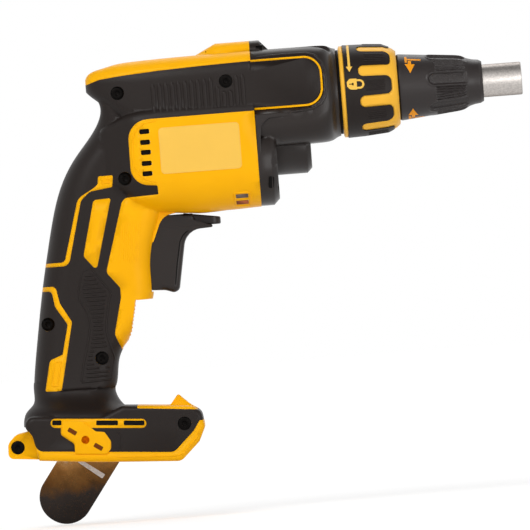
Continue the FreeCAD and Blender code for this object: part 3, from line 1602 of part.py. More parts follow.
def terminal_pieces():
    """The terminal block at the channel's rear and its blades."""
    front = block_length - channel_rear
    block = box(-channel_rear, front, -block_half_width, block_half_width, block_base, channel_depth)
    blades = []
    cuts = []
    low = (block_base + channel_depth - blade_height) / 2
    for step in range(blade_count):
        y = (step - (blade_count - 1) / 2) * blade_pitch
        reach = (front - block_length / 2, front + blade_length)
        for pieces, grow in ((blades, 0.0), (cuts, seat_clearance / 2)):
            pieces.append(box(reach[0] - grow, reach[1], y - blade_thickness / 2 - grow,
                              y + blade_thickness / 2 + grow, low - grow, low + blade_height + grow))
    blade_group = Part.makeCompound(blades)
    return {"terminal_block": foot_to_tool(block.cut(cuts)), "terminal_blades": foot_to_tool(blade_group)}


def belt_hook():
    """The belt hook: a bent strip on the left side of the foot, and its screw."""
    inner = foot_half_width
    outer = inner + hook_standoff
    profile = [
        (-hook_tab_above, inner), (hook_tab_below, inner), (hook_bend, outer), (hook_reach, outer),
        (hook_reach, outer + hook_thickness), (hook_bend - hook_thickness / 2, outer + hook_thickness),
        (hook_tab_below - hook_thickness / 2, inner + hook_thickness),
        (-hook_tab_above, inner + hook_thickness)]
    half = hook_width / 2
    rear = hook_offset - half
    front = hook_offset + half
    corners = [Vector(s, y, rear) for s, y in profile]
    strip = Part.Face(Part.makePolygon(corners + corners[:1])).extrude(Vector(0, 0, hook_width))
    turn = half - least_radius
    plan = [
        (-hook_tab_above, rear, hook_thickness), (hook_reach, rear, turn), (hook_reach, front, turn),
        (-hook_tab_above, front, hook_thickness)]
    hook = strip.common(prism(plan, 0, outer + hook_standoff))
    hook = hook.cut(cross_rod(0, 0, 0, outer + hook_standoff, hook_screw_radius + seat_clearance))
    face = inner + hook_thickness
    head = cross_rod(0, 0, face, face + hook_screw_head_height, hook_screw_head)
    shank = cross_rod(0, 0, inner - hook_screw_length, face + overrun / 2, hook_screw_radius)
    recess = drive_recess(Vector(0, face + hook_screw_head_height, 0), Vector(0, 1, 0))
    screw = head.fuse(shank).cut(recess)
    for shape in (hook, screw):
        shape.rotate(Vector(0, 0, 0), Vector(0, 1, 0), 180 - hook_lean + foot_pitch)
        shape.translate(point(HOOK_X, HOOK_Z))
    return {"belt_hook": hook, "hook_screw": screw}


def rating_plate():
    """The bare rating plate on the right side of the motor box."""
    x0, z0 = barrel_point(*label_low_shares)
    x1, z1 = barrel_point(*label_high_shares)
    corners = [(x0, z0, label_round), (x1, z0, label_round), (x1, z1, label_round), (x0, z1, label_round)]
    area = side_prism(corners)
    return motor_form(-label_thickness).common(area).cut(motor_form(0.0))


def all_pieces():
    """Every node of the tool by name."""
    pieces = grips_and_shells()
    pieces.update({
        "gear_case": gear_case(), "bearing_plate": bearing_plate(), "gear_case_screws": case_screws(),
        "housing_screws": housing_screws(), "output_spindle": spindle(), "clutch_disc": clutch_disc(),
        "spindle_gear": spindle_gear(), "clutch_spring": clutch_spring(), "pinion": pinion(),
        "nose_carrier": nose_carrier(), "nose_cone": nose_cone(), "depth_locator": depth_locator(),
        "locator_key_pin": key_pin(), "cooling_fan": cooling_fan(), "trigger": trigger(),
        "lock_on_button": lock_on_button(), "rating_plate": rating_plate(),
        "lamp_lens": lens_slot(0.0, 0.0), "lamp_board": lamp_slot(0.0)})
    for group in (front_bearing, bit_pieces, spindle_rings, nose_rings, collar, stator, motor_rings, rotor,
                  trigger_pieces, reverse_lever, control_pieces, terminal_pieces, belt_hook):
        pieces.update(group())
    return pieces


def solid_or_group(shape):
    """A single solid on its own, or a group of separate solids."""
    if len(shape.Solids) == 1:
        return shape.Solids[0]
    return Part.makeCompound(shape.Solids)


os.makedirs("parts", exist_ok=True)
for name, shape in all_pieces().items():
    solid_or_group(shape).exportStep("parts/" + name + ".step")
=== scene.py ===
import json
import math

import bmesh
import bpy
import numpy as np
from bpy.props import FloatProperty, FloatVectorProperty, IntProperty, PointerProperty
from mathutils import Matrix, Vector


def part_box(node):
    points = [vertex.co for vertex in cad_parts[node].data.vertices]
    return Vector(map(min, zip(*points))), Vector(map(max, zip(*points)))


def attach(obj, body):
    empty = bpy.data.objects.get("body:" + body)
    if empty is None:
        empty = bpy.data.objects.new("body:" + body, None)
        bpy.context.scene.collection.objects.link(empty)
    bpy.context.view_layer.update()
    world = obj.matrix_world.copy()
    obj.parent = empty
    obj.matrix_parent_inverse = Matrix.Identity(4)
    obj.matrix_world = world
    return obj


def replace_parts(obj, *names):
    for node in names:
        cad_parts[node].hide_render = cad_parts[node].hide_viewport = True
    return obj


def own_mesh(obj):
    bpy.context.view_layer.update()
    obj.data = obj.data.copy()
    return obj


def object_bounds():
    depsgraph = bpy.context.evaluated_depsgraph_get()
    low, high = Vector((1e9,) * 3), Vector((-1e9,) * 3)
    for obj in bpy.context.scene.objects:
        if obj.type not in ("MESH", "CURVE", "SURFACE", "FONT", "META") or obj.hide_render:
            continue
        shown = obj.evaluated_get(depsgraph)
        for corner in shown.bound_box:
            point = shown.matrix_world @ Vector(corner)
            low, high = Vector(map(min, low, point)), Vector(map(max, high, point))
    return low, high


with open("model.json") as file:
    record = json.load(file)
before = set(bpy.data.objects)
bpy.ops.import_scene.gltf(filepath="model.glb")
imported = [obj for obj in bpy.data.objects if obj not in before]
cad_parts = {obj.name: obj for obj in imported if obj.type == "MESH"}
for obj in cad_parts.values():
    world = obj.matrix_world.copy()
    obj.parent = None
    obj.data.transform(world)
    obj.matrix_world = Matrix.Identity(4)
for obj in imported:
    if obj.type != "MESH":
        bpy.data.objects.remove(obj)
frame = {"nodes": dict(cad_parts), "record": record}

bl_info = {
    "name": "Drywall screwdriver",
    "version": (1, 0, 0),
    "blender": (4, 5, 0),
    "location": "3D View > Sidebar > Screwdriver",
    "description": "Dresses the packed drywall screwdriver with its finishes and moulded details",
    "category": "Object",
}

MM = 0.001


def mm(*values):
    """Millimetres as an array in metres."""
    return np.array(values, float) * MM


CAD_BOX = [list(corner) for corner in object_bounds()]
NODES = frame["nodes"]
RECORD = frame["record"]
BODY_OF = {node: body for body, nodes in RECORD["behaviour"]["bodies"].items() for node in nodes}
SLOT_OF = {part["node"]: part["material_slot"] for part in RECORD["subparts"]}
SIDES = (("right", -1), ("left", 1))

# Looks: a finish, the body that carries the piece, and its record slot
ON_SHELL = ("nylon", "housing", "yellow_nylon")
ON_GRIP = ("rubber", "housing", "black_rubber")
ON_CASE = ("case", "housing", "black_nylon")
IN_SHADE = ("hollow", "housing", "black_nylon")
ON_TRIGGER = ("lever", "trigger", "black_nylon")

# How finely details are made
RIB_SIDES, RIB_POINTS, ROUND_RIB_POINTS = 10, 13, 15
LIP_POINTS, CASE_LINE_POINTS, FRAME_POINTS, PANEL_RIM_POINTS = 60, 80, 90, 120
GLINT_POINTS, FLANGE_POINTS, TRIGGER_POINTS, PAD_POINTS = 160, 240, 260, 400
LATHE_TURNS, CONE_STEPS, CONE_TURNS, SHADE_RING_TURNS, PAD_TURNS = 128, 170, 480, 48, 240
RIM_STEPS, PAD_RIM_STEPS, EDGE_STEPS = 7, 5, 2
SHAFT_POINTS, HEAD_POINTS, LOCK_POINTS, LOCK_COLUMNS = 24, 8, 16, 7
BOW_POINTS, KEY_POINTS, SCREW_HEAD_POINTS, THREAD_POINTS = 24, 20, 12, 60

# How ribs fade at their ends, and the tolerances of merging and probing
RIB_FADE, RIB_END, RIB_SUNK = 12, 0.02, 0.5
SHORTEST_RIB = 1.2 * MM
SAME_POINT, NO_LENGTH = mm(0.001, 0.0001)
FLAT_ANGLE = 0.5
OUT_OF_REACH, MISSED = mm(120.0, 0.01)

# Patterns of the finishes
STIPPLE_DEPTH, STIPPLE_PITCH = mm(0.12, 0.6)
# The hook strip's painted light ramps by height over STRIP_FADE, its edge wandering by STRIP_DRIFT
STRIP_FADE, STRIP_DRIFT = mm(36.0, 16.0)
WAVE_RADIANS = 20

# The collar with its lobes, its profile that of the part's source, and a ring of painted shade behind it
COLLAR_REAR, COLLAR_LENGTH, COLLAR_RADIUS = mm(-90.6, 28.6, 22.9)
COLLAR_SHARES = np.array([(0.0, 0.95), (0.02, 1.0), (0.4, 0.985), (0.78, 0.948), (0.927, 0.873), (1.0, 0.80)])
FINGERS, FINGER_TURN = 9, 25.2
LOBE_SKIN = 0.3 * MM
LOBE_RIBS, LOBE_RIB_PITCH = np.arange(-2, 3), 1.15 * MM
LOBE_RIB_RUN, LOBE_RIB = mm((-78.5, -68.0), (0.7, 0.22))
# A dark ring of painted shade filling the gap between the case and the collar
GAP_SHADE_REAR, GAP_SHADE_FRONT = COLLAR_REAR - mm(1.3, 0.15)
GAP_SHADE_INNER, GAP_SHADE_OUTER = mm(16.2, 21.0)

# The nose cone with its channels, its profile that of the part's source, and the locator's wall
CONE_REAR, CONE_LENGTH, CONE_RADIUS = mm(-62.0, 42.5, 16.6)
CONE_SHARES = np.array([
    (0.0, 0.96), (0.02, 1.0), (0.05, 0.995), (0.47, 0.889), (0.706, 0.828), (0.76, 0.80), (0.83, 0.72),
    (0.894, 0.675), (0.96, 0.655), (1.0, 0.60)])
CONE_STEP, CONE_BORE, CONE_MOUTH = mm(-40.0, 12.55, 8.5)
CONE_SOFTENED, SOFT_STEPS = 0.45, 3
CHANNEL_TURN = math.radians(79.0)
CHANNEL_REAR, CHANNEL_FRONT = mm(-46.5, -27.0)
CHANNEL_HALF, CHANNEL_EDGE, CHANNEL_FADE = mm(2.8, 0.7, 2.2)
CHANNEL_RIM, CHANNEL_RIM_WIDTH, CHANNEL_RIM_RISE = mm(0.75, 0.45, 0.25)
STIPPLE_MARGIN = 1.0 * MM
GROOVE_REAR, GROOVE_FRONT = mm(-43.5, -27.8)
GROOVE_MARGIN, GROOVE_PITCH, GROOVE_FADE = mm(0.9, 1.3, 0.9)
LOCATOR_WALL = mm(
    (-56.0, 5.7), (-56.0, 8.0), (-55.8, 8.2), (-0.7, 8.2), (-0.25, 8.05), (-0.05, 7.8), (0.0, 7.5),
    (0.0, 6.9), (-0.15, 6.65), (-0.5, 6.5), (-13.0, 6.5), (-13.0, 5.7))

# Printed signs, with an arrow as half shaft, head length and half head
ARROW_NECK, ARROW_TIP = mm(0.01, 0.02)
COLLAR_ARROW, SIGN_ARROW = mm((0.6, 3.0, 1.6), (0.8, 5.4, 2.5))
COLLAR_ARROW_X, COLLAR_ARROW_TURNS = -85.7 * MM, np.radians((9.0, 67.0))
LOCK_TURN = math.radians(83.0)
LOCK_REAR, LOCK_LENGTH, LOCK_HALF = mm(-87.4, 4.9, 2.75)
LOCK_ROUND, LOCK_END = 0.45, 0.2
BOW_X, BOW_RADIUS, BOW_FOOT, BOW_HALF = mm(-81.2, 1.9, -82.6, 0.5)
KEY_RUN, KEY_HALVES = mm((-86.4, -84.1), (0.22, 0.62))
KEY_STEP, KEY_LIFT = -84.9 * MM, 1.6
SIGN_X, SIGN_TURNS = -55.4 * MM, np.radians((34.0, 166.0))
SIGN_RUN, THREAD_RUN = mm((1.2, 9.0), (-1.2, 5.6))
HEAD_BACK, HEAD_REACH, SCREW_HALF, THREAD_DEPTH = mm(1.8, 2.6, 0.55, 0.3)
THREADS_PER_MM = 0.9

# Screws as (x, z), what stays clear of them, and the rings of painted shade round their heads
SCREW_PLACES = mm((-201.81, 7.69), (-147.53, 9.51), (-201.3, -35.0), (-245.29, -104.5), (-219.72, -123.3),
                  (-181.14, -158.75), (-264.83, -164.47))
BAND_SCREW, HANDLE_SCREW = 1, 4
HOLE_MARGIN, BUTTON_MARGIN = mm(4.9, 1.5)
# A ring of painted shade in each screw hole
SHADE_RING = mm((3.03, 0.25), (3.03, 1.6), (3.37, 1.6), (3.37, 0.25))
SHADE_RING_PROBE = mm(0.0, 2.4)

# Ribs on the shells and grips: places as (x, z), a rib's size as width and height
PANEL_REAR = mm((-226.1, -79.7), (-228.8, -88.5), (-228.7, -93.5), (-225.2, -100.3), (-224.2, -106.4),
                (-225.8, -113.8), (-229.2, -126.1), (-230.9, -134.6))
PANEL_FRONT = mm((-222.0, -78.0), (-212.5, -91.3), (-213.7, -93.7), (-216.0, -104.6), (-216.5, -110.5),
                 (-215.0, -117.2), (-213.4, -123.5), (-215.6, -134.2))
PANEL_INSET, PANEL_RIM_SHARE = 1.6 * MM, 0.8
BAND_RUN, BAND_HIGH = mm((-184.0, -136.4), (11.0, 12.6))
BAND_LOW = -3.6 * MM
BAND_WIDTH_SHARE, BAND_HEIGHT_SHARE = 0.72, 1.2
THROAT_X = np.linspace(-207.6, -198.2, 10) * MM
THROAT_LOW, THROAT_HIGH, THROAT_LEAN = mm(-78.0, -56.5, 3.0)
EDGE_HEIGHTS, EDGE_SPAN = np.arange(-98.5, -113.0, -1.8) * MM, mm(0.6, 5.0)
THROAT_RIB, EDGE_RIB, LIP, FOOT_LIP = mm((0.6, 0.12), (0.9, 0.4), (0.8, 0.35), (0.8, 0.25))
# The recess mark and the trigger line are dark lines of painted shade
BAND_LIP, RECESS_SHADE_LINE, TRIGGER_SHADE_LINE = mm((1.2, 0.4), (2.8, 0.08), (0.6, 0.08))

# Dark plates of painted shade in the vents, and the window as (x, z, x, z) with what shows behind it
VENT_REAR, VENT_FRONT, VENT_DEPTH = mm(-192.31, -187.41, -26.6)
VENT_HALF, VENT_RADIUS, VENT_SHADE_THICK = mm(1.2, 0.7, 0.3)
VENT_HEIGHTS = mm(-12.39, -17.79, -22.8, -28.3, -33.39)
WINDOW = mm(-146.8, -52.1, -140.8, -47.2)
WINDOW_FRAME = WINDOW + mm(-0.8, -0.8, 0.8, 0.8)
FRAME_RADIUS = 0.6 * MM
CAN_SIDE, CAN_TOP, CAN_DEPTH = mm(1.0, 0.5, 13.4)
WINDING_DROP, WINDING_DEPTH = mm(0.7, 12.2)
BEHIND_RADIUS, BEHIND_THICK = mm(0.2, 0.4)

# Lines as (x, z), and the case's flange as corners (x, z, radius)
BAND_RIM = mm((-131.6, 20.3), (-118.1, 20.6), (-106.6, 20.4), (-102.4, 19.1), (-99.2, 15.1), (-97.6, 9.5),
              (-97.5, 3.0), (-98.5, -1.9), (-100.8, -5.3), (-104.5, -7.2), (-108.1, -7.8), (-120.3, -8.6))
PANEL_LIP = mm(
    (-182.8, -7.4), (-188.9, -8.0), (-192.7, -9.9), (-194.9, -13.1), (-196.2, -17.9), (-196.7, -24.8),
    (-196.1, -29.6), (-194.3, -33.1), (-191.3, -36.1), (-185.3, -38.2))
RAIL_LIP = mm((-173.4, -161.6), (-175.6, -166.1), (-182.0, -173.0), (-186.1, -174.5), (-199.9, -173.7),
              (-218.0, -172.5))
FOOT_RECESS = mm((-215.0, -160.4), (-213.2, -161.4), (-213.2, -167.5), (-214.8, -169.3), (-217.0, -169.5))
TABS = mm(((-212.8, -34.5), (-208.9, -34.4), (-209.1, -36.4), (-212.9, -36.5)),
          ((-243.3, -123.8), (-240.2, -123.4), (-242.8, -135.2), (-245.6, -135.4)))
# Path of a dark line of painted shade in the recess by the lower screw
CASE_RECESS_SHADE = mm((-128.3, -39.6), (-129.0, -45.4))
CASE_FLANGE = mm((-134.4, -38.0, 0.5), (-133.2, -38.0, 0.5), (-132.3, -20.8, 9.0), (-131.6, -14.0, 3.0),
                 (-128.0, -10.6, 4.0), (-117.0, -10.1, 0.5), (-117.0, -8.2, 0.5), (-134.4, -8.2, 0.5))
FLANGE_TOP, FLANGE_BASE, FLANGE_ROUND = mm(15.804, 24.0, 0.4)
FLANGE_SLOPE = -0.0915

# The trigger, the throat's web and the lever, with rounded corners as two coordinates and a radius
TRIGGER_CORNERS = mm(
    (-192.5, -60.97, 0.6), (-159.7, -60.97, 0.6), (-159.7, -62.3, 0.6), (-173.1, -62.9, 9.0),
    (-178.9, -94.4, 3.1), (-185.4, -92.0, 7.0), (-192.5, -91.5, 0.6))
TRIGGER_RUN, TRIGGER_ROUND = mm((-191.0, -187.0, -175.5, -168.0), (0.3, 2.9, 2.9, 0.5))
TRIGGER_HALF = 10.4 * MM
TOP_LEVEL, TOP_ROUND = mm(-61.3, 0.2)
TOP_RATE = 0.7
TRIGGER_CHEEK = mm((-191.0, -61.8, 0.4), (-161.6, -61.8, 0.3), (-161.0, -61.1, 0.2), (-167.5, -58.6, 2.0),
                   (-175.5, -55.2, 2.0), (-191.0, -55.2, 0.4))
# Path of a dark line of painted shade along the trigger's front rounding
TRIGGER_EDGE = mm((-171.6, -63.0), (-173.3, -64.0), (-175.0, -65.6), (-176.5, -68.4), (-178.7, -79.0),
                  (-180.4, -90.0))
THROAT_WEB = mm(
    (-189.8, -67.6), (-188.9, -65.6), (-187.9, -63.3), (-186.9, -60.9), (-186.1, -58.9), (-185.3, -57.6),
    (-184.2, -56.3), (-182.9, -55.3), (-181.4, -54.6), (-179.5, -54.1), (-177.5, -53.8), (-177.5, -53.0),
    (-190.5, -53.0), (-190.5, -67.6))
CHEEK_SPAN, WEB_SPAN = mm((9.4, 10.3), (10.65, 11.5))
LEVER_CORNERS = mm((-174.0, -4.26, 0.8), (-155.44, -4.26, 4.2), (-155.44, 4.26, 4.2), (-174.0, 4.26, 0.8))
LEVER_LOW, LEVER_HIGH, LEVER_ROUND = mm(-60.93, -82.965, 0.7)
LEVER_SLOPE, LEVER_CREASE = -0.165, 30.0

# The foot's own frame with places in it, and a bright patch on the hook as a painted highlight
FOOT_X, FOOT_Z, FOOT_SIDE = mm(-215.0, -174.9, 32.0)
FOOT_PITCH = math.radians(4.5)
# Slots in the yellow frame, drawn as dark plates of painted shade
FRAME_SLOTS = mm((-33.3, -28.7), (-11.4, -0.6), (2.3, 12.6))
SLOT_LOW, SLOT_HIGH, SLOT_RADIUS = mm(17.8, 20.2, 0.5)
SLOT_RISE, PAD_SLOT_RISE, SET_IN = mm(0.06, 0.05, 0.3)
PAD_CORNERS = mm(
    (-28.1, 19.6, 1.0), (-18.75, 20.0, 1.0), (-11.5, 14.75, 1.0), (-7.25, 14.5, 1.2), (-4.1, 10.0, 1.2),
    (-4.1, 6.0, 1.2), (-6.0, 3.5, 1.0), (-21.9, 3.5, 0.6), (-22.1, 8.75, 1.0), (-28.75, 13.5, 1.0))
PAD_HOLE = mm(-16.75, 10.5)
PAD_HOLE_RADIUS, PAD_RISE, PAD_RIM = mm(2.1, 0.7, 0.4)
# Slots in the hook pad, drawn as brown plates of painted shade
PAD_SLOTS = mm((-23.3, 14.7), (-10.3, 7.1))
# The hook's bright patch is a painted highlight
PAD_SLOT, GLINT = mm((4.6, 2.2, 0.4), (15.0, 3.5, 0.6))
PAD_SLOT_TURN, GLINT_TURN = -30.0, -38.5
HOOK_GLINT, GLINT_ENDS = mm((-229.8, -178.1), (-0.5, 0.4))
GLINT_ROUND = 0.4 * MM

# Roundings on copies of solids
SCREW_EDGE, LEVER_EDGE, BUTTON_EDGE = mm(0.2, 0.9, 0.3)
HOOK_EDGE, LENS_EDGE, BLOCK_EDGE, BLADE_EDGE = mm(0.6, 0.2, 0.4, 0.1)

# The stage in metres, with lamps as place from the centre, size and the setting of their power
CENTRE = np.array([-0.1351, 0.0, -0.0833])
FLOOR_HALF, FLOOR_GAP, CLIP_END = 9.0, 0.5 * MM, 20.0
LAMPS = {"key": ((-0.55, -1.2, 1.0), 0.8, "key_power"), "fill": ((0.9, -1.3, -0.05), 0.9, "fill_power"),
         "rim": ((0.1, 0.9, 1.1), 0.9, "rim_power")}

# The floor's glow by distance, the sky's strength by height, and their colours
GLOW_X = -0.135
GLOW = {"From Min": 0.3, "From Max": 1.8, "To Min": 0.64, "To Max": 0.88}
OVERHEAD = {"From Min": 0.45, "From Max": 0.95, "To Min": 1.0, "To Max": 0.2}
WHITE, PAPER, PALE = ((level, level, level, 1.0) for level in (1.0, 0.9, 0.5))


def linear(code):
    """Linear colour of an sRGB hex code, by the sRGB curve on each channel."""
    share = np.array([int(code[start:start + 2], 16) for start in (1, 3, 5)]) / 255
    curve = np.where(share <= 0.04045, share / 12.92, ((share + 0.055) / 1.055) ** 2.4)
    return tuple(float(value) for value in curve)


def colour_prop(name, description, code):
    """A colour that a user can change, its default from a hex code."""
    return FloatVectorProperty(name=name, description=description, subtype="COLOR", size=3, min=0.0, max=1.0,
                               default=linear(code))


def size_prop(name, description, millimetres):
    """A length that a user can change, its default in millimetres."""
    return FloatProperty(name=name, description=description, default=millimetres * MM, min=0.0, precision=5,
                         unit="LENGTH", subtype="DISTANCE")


def power_prop(name, description, watts):
    """A lamp's power that a user can change."""
    return FloatProperty(name=name, description=description, default=watts, unit="POWER")


class FinishSettings(bpy.types.PropertyGroup):
    """Colours of the tool's outside."""

    nylon: colour_prop("Housing", "Yellow of the glass-filled nylon housing", "#FFB400")
    rubber: colour_prop("Grip", "Black of the soft overmoulded grip", "#1E1714")
    case: colour_prop("Gear case", "Black of the hard nylon case", "#231C19")
    cone: colour_prop("Nose cone", "Dark grey of the nose cone", "#2E2928")
    collar: colour_prop("Collar", "Paler yellow of the lock collar", "#FBBB3A")
    film: colour_prop("Rating film", "Pale yellow of the bare rating film", "#F2BE40")
    ink: colour_prop("Ink", "Orange of the cone's printed signs", "#F39B12")
    cream: colour_prop("Pale ink", "Pale yellow of the collar's printed signs", "#F7C453")
    steel: colour_prop("Steel", "Grey of the depth locator's steel", "#C9C3BE")


class DetailSettings(bpy.types.PropertyGroup):
    """Sizes of the moulded details."""

    rib_width: size_prop("Rib width", "Width of the grip's fine ribs", 1.0)
    rib_height: size_prop("Rib height", "Height of the grip's fine ribs", 0.45)
    rib_pitch: size_prop("Rib pitch", "Spacing of the grip's fine ribs", 2.1)
    band_pitch: size_prop("Band pitch", "Spacing of the bars on the upper band", 3.2)
    cone_channels: IntProperty(
        name="Cone channels", description="Sunk channels round the nose cone", default=6, min=3)
    channel_depth: size_prop("Channel depth", "Depth of the nose cone's channels", 1.1)
    groove_depth: size_prop("Groove depth", "Depth of the fine grooves between the channels", 0.6)
    lobe_rise: size_prop("Lobe height", "How far the collar's soft lobes stand proud", 0.4)
    print_rise: size_prop("Print height", "Thickness of the printed signs", 0.06)


class StageSettings(bpy.types.PropertyGroup):
    """Camera and light."""

    distance: FloatProperty(
        name="Distance", description="From the camera to the spindle's plane", default=6.0, unit="LENGTH",
        subtype="DISTANCE")
    roll: FloatProperty(name="Roll", description="Turn of the camera about its line of sight",
                        default=math.radians(4.45), subtype="ANGLE")
    view_width: FloatProperty(
        name="View width", description="Width seen at the spindle's plane", default=0.265, unit="LENGTH",
        subtype="DISTANCE")
    key_power: power_prop("Key light", "Power of the main lamp", 13.5)
    fill_power: power_prop("Fill light", "Power of the side lamp", 10.0)
    rim_power: power_prop("Rim light", "Power of the lamp behind", 5.0)
    sky: FloatProperty(name="Sky", description="Strength of the even light all round", default=0.33)


def detail():
    """The scene's detail sizes."""
    return bpy.context.scene.tool_detail


# Materials


def add_node(tree, kind, settings=None, links=None):
    """Add a node, set its options and sockets, and link sockets of it to outputs of other nodes."""
    node = tree.nodes.new(kind)
    for key, value in (settings or {}).items():
        if isinstance(key, str) and hasattr(node, key):
            setattr(node, key, value)
        else:
            node.inputs[key].default_value = value
    for key, output in (links or {}).items():
        tree.links.new(output, node.inputs[key])
    return node


def noise(tree, place, size_mm, detail_level, **settings):
    """Soft patches of the given size, from 0 to 1."""
    settings = {"Scale": 1 / (size_mm * MM), "Detail": detail_level, **settings}
    return add_node(tree, "ShaderNodeTexNoise", settings, {"Vector": place}).outputs["Fac"]


def bands(tree, place, pitch_mm, direction="X", **settings):
    """Parallel bands at the given pitch, from 0 to 1."""
    settings = {"bands_direction": direction, "Scale": 1 / (WAVE_RADIANS * pitch_mm * MM), **settings}
    return add_node(tree, "ShaderNodeTexWave", settings, {"Vector": place}).outputs["Fac"]


def start_material(name, colour, rough, patch_mm, **sockets):
    """A new material with drifting roughness, and the Object coordinates that its patterns read."""
    material = bpy.data.materials.new(name)
    material.use_nodes = True
    material.diffuse_color = tuple(colour) + (1.0,)
    tree = material.node_tree
    shader = tree.nodes["Principled BSDF"]
    shader.inputs["Base Color"].default_value = tuple(colour) + (1.0,)
    for key, value in sockets.items():
        shader.inputs[key.replace("_", " ")].default_value = value
    place = add_node(tree, "ShaderNodeTexCoord").outputs["Object"]
    reach = add_node(tree, "ShaderNodeMapRange", {"To Min": rough[0], "To Max": rough[1]},
                     {"Value": noise(tree, place, patch_mm, detail_level=5.0)})
    tree.links.new(reach.outputs["Result"], shader.inputs["Roughness"])
    return material, tree, shader, place


def blend_shades(tree, shader, factor, colour, darker, lighter):
    """Let the base colour run from a darker to a lighter shade by a factor."""
    shades = [tuple(min(1.0, channel * share) for channel in colour) + (1.0,) for share in (darker, lighter)]
    blend = add_node(tree, "ShaderNodeMix", {"data_type": "RGBA", 6: shades[0], 7: shades[1]},
                     {"Factor": factor})
    tree.links.new(blend.outputs[2], shader.inputs["Base Color"])


def raise_grain(tree, shader, height, depth_mm):
    """Bump the surface by a height pattern whose full swing is the given depth."""
    bump = add_node(tree, "ShaderNodeBump", {"Distance": depth_mm * MM, "Strength": 1.0}, {"Height": height})
    tree.links.new(bump.outputs["Normal"], shader.inputs["Normal"])


def moulded(name, colour, rough, grain_mm, depth_mm, specular):
    """Moulded plastic: spark-eroded grain in the mould gives a fine matt sparkle over an even colour.

    Where a piece carries the stipple attribute the grain is coarser and deeper.
    """
    material, tree, shader, place = start_material(
        name, colour, rough, patch_mm=22.0, Specular_IOR_Level=specular)
    cloud = noise(tree, place, size_mm=14.0, detail_level=4.0)
    blend_shades(tree, shader, cloud, colour, darker=0.94, lighter=1.06)
    marks = add_node(tree, "ShaderNodeAttribute", {"attribute_name": "stipple"})
    dots = add_node(tree, "ShaderNodeTexVoronoi", {"Scale": 1 / STIPPLE_PITCH}, {"Vector": place})
    deep = add_node(tree, "ShaderNodeMath", {"operation": "MULTIPLY"},
                    {0: dots.outputs["Distance"], 1: marks.outputs["Fac"]})
    both = add_node(tree, "ShaderNodeMath", {"operation": "MULTIPLY_ADD", 1: STIPPLE_DEPTH / (depth_mm * MM)},
                    {0: deep.outputs[0], 2: noise(tree, place, grain_mm, detail_level=2.0)})
    raise_grain(tree, shader, both.outputs[0], depth_mm)
    return material


def turned_steel(name, colour):
    """Turned steel: fine rings round the X axis left by the tool, dulled by handling."""
    material, tree, shader, place = start_material(
        name, colour, rough=(0.3, 0.46), patch_mm=1.5, Metallic=1.0, Specular_Tint=(0.3, 0.28, 0.27, 1.0))
    stains = noise(tree, place, size_mm=0.9, detail_level=6.0)
    blend_shades(tree, shader, stains, colour, darker=0.5, lighter=1.3)
    rings = bands(tree, place, pitch_mm=0.4, Distortion=1.5, Detail=2.0)
    raise_grain(tree, shader, rings, depth_mm=0.012)
    return material


def strip_with_painted_light(name):
    """Spring steel strip coloured by height, with painted light: a pale painted highlight at the top,
    browns below as a painted reflection of the yellow housing over stains, and dark mottling
    towards its round end that is partly stains and partly painted shade.
    """
    material, tree, shader, place = start_material(
        name, linear("#B9B0A6"), rough=(0.16, 0.42), patch_mm=3.0, Metallic=1.0)
    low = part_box("belt_hook")[0].z
    split = add_node(tree, "ShaderNodeSeparateXYZ", None, {"Vector": place})
    cloud = noise(tree, place, size_mm=9.0, detail_level=6.0, Roughness=0.65)
    drift = add_node(tree, "ShaderNodeMath",
                     {"operation": "MULTIPLY_ADD", 1: STRIP_DRIFT, 2: -STRIP_DRIFT / 2}, {0: cloud})
    height = add_node(tree, "ShaderNodeMath", {"operation": "ADD"},
                      {0: split.outputs["Z"], 1: drift.outputs[0]})
    share = add_node(tree, "ShaderNodeMapRange", {"From Min": low, "From Max": low + STRIP_FADE},
                     {"Value": height.outputs[0]})
    ramp = add_node(tree, "ShaderNodeValToRGB", None, {"Fac": share.outputs["Result"]})
    # Stops by height: dark stains and painted shade low, browns of painted reflection over stains, a painted
    # highlight on top
    stops = ((0.0, "#2A2523"), (0.38, "#332D2A"), (0.54, "#573C22"), (0.72, "#74502A"), (0.88, "#946A3C"),
             (1.0, "#B9A68F"))
    for position, _ in stops[1:-1]:
        ramp.color_ramp.elements.new(position)
    for element, (_, code) in zip(ramp.color_ramp.elements, stops):
        element.color = linear(code) + (1.0,)
    tree.links.new(ramp.outputs["Color"], shader.inputs["Base Color"])
    pits = noise(tree, place, size_mm=0.7, detail_level=3.0)
    raise_grain(tree, shader, pits, depth_mm=0.012)
    return material


def blackened_steel(name):
    """Black oxide on steel: near black and slightly oily, mottled by wear, with a finely speckled skin."""
    colour = linear("#100E0D")
    material, tree, shader, place = start_material(
        name, colour, rough=(0.34, 0.5), patch_mm=1.2, Metallic=0.85, Specular_IOR_Level=0.1)
    wear = noise(tree, place, size_mm=1.6, detail_level=4.0)
    blend_shades(tree, shader, wear, colour, darker=0.7, lighter=1.5)
    specks = noise(tree, place, size_mm=0.4, detail_level=2.0)
    raise_grain(tree, shader, specks, depth_mm=0.01)
    return material


def inner_metal(name, colour, rough, patch_mm):
    """Plain metal inside the tool: nearly even colour, its roughness drifting in small patches."""
    material, tree, shader, place = start_material(name, colour, rough, patch_mm / 2, Metallic=1.0)
    cloud = noise(tree, place, patch_mm, detail_level=4.0)
    blend_shades(tree, shader, cloud, colour, darker=0.9, lighter=1.06)
    return material


def stacked_iron(name):
    """Electrical sheet: dark stacked leaves across the motor's axis."""
    colour = linear("#5A5654")
    material, tree, shader, place = start_material(
        name, colour, rough=(0.4, 0.6), patch_mm=5.0, Metallic=1.0)
    leaves = bands(tree, place, pitch_mm=0.5)
    blend_shades(tree, shader, leaves, colour, darker=0.6, lighter=1.1)
    raise_grain(tree, shader, leaves, depth_mm=0.05)
    return material


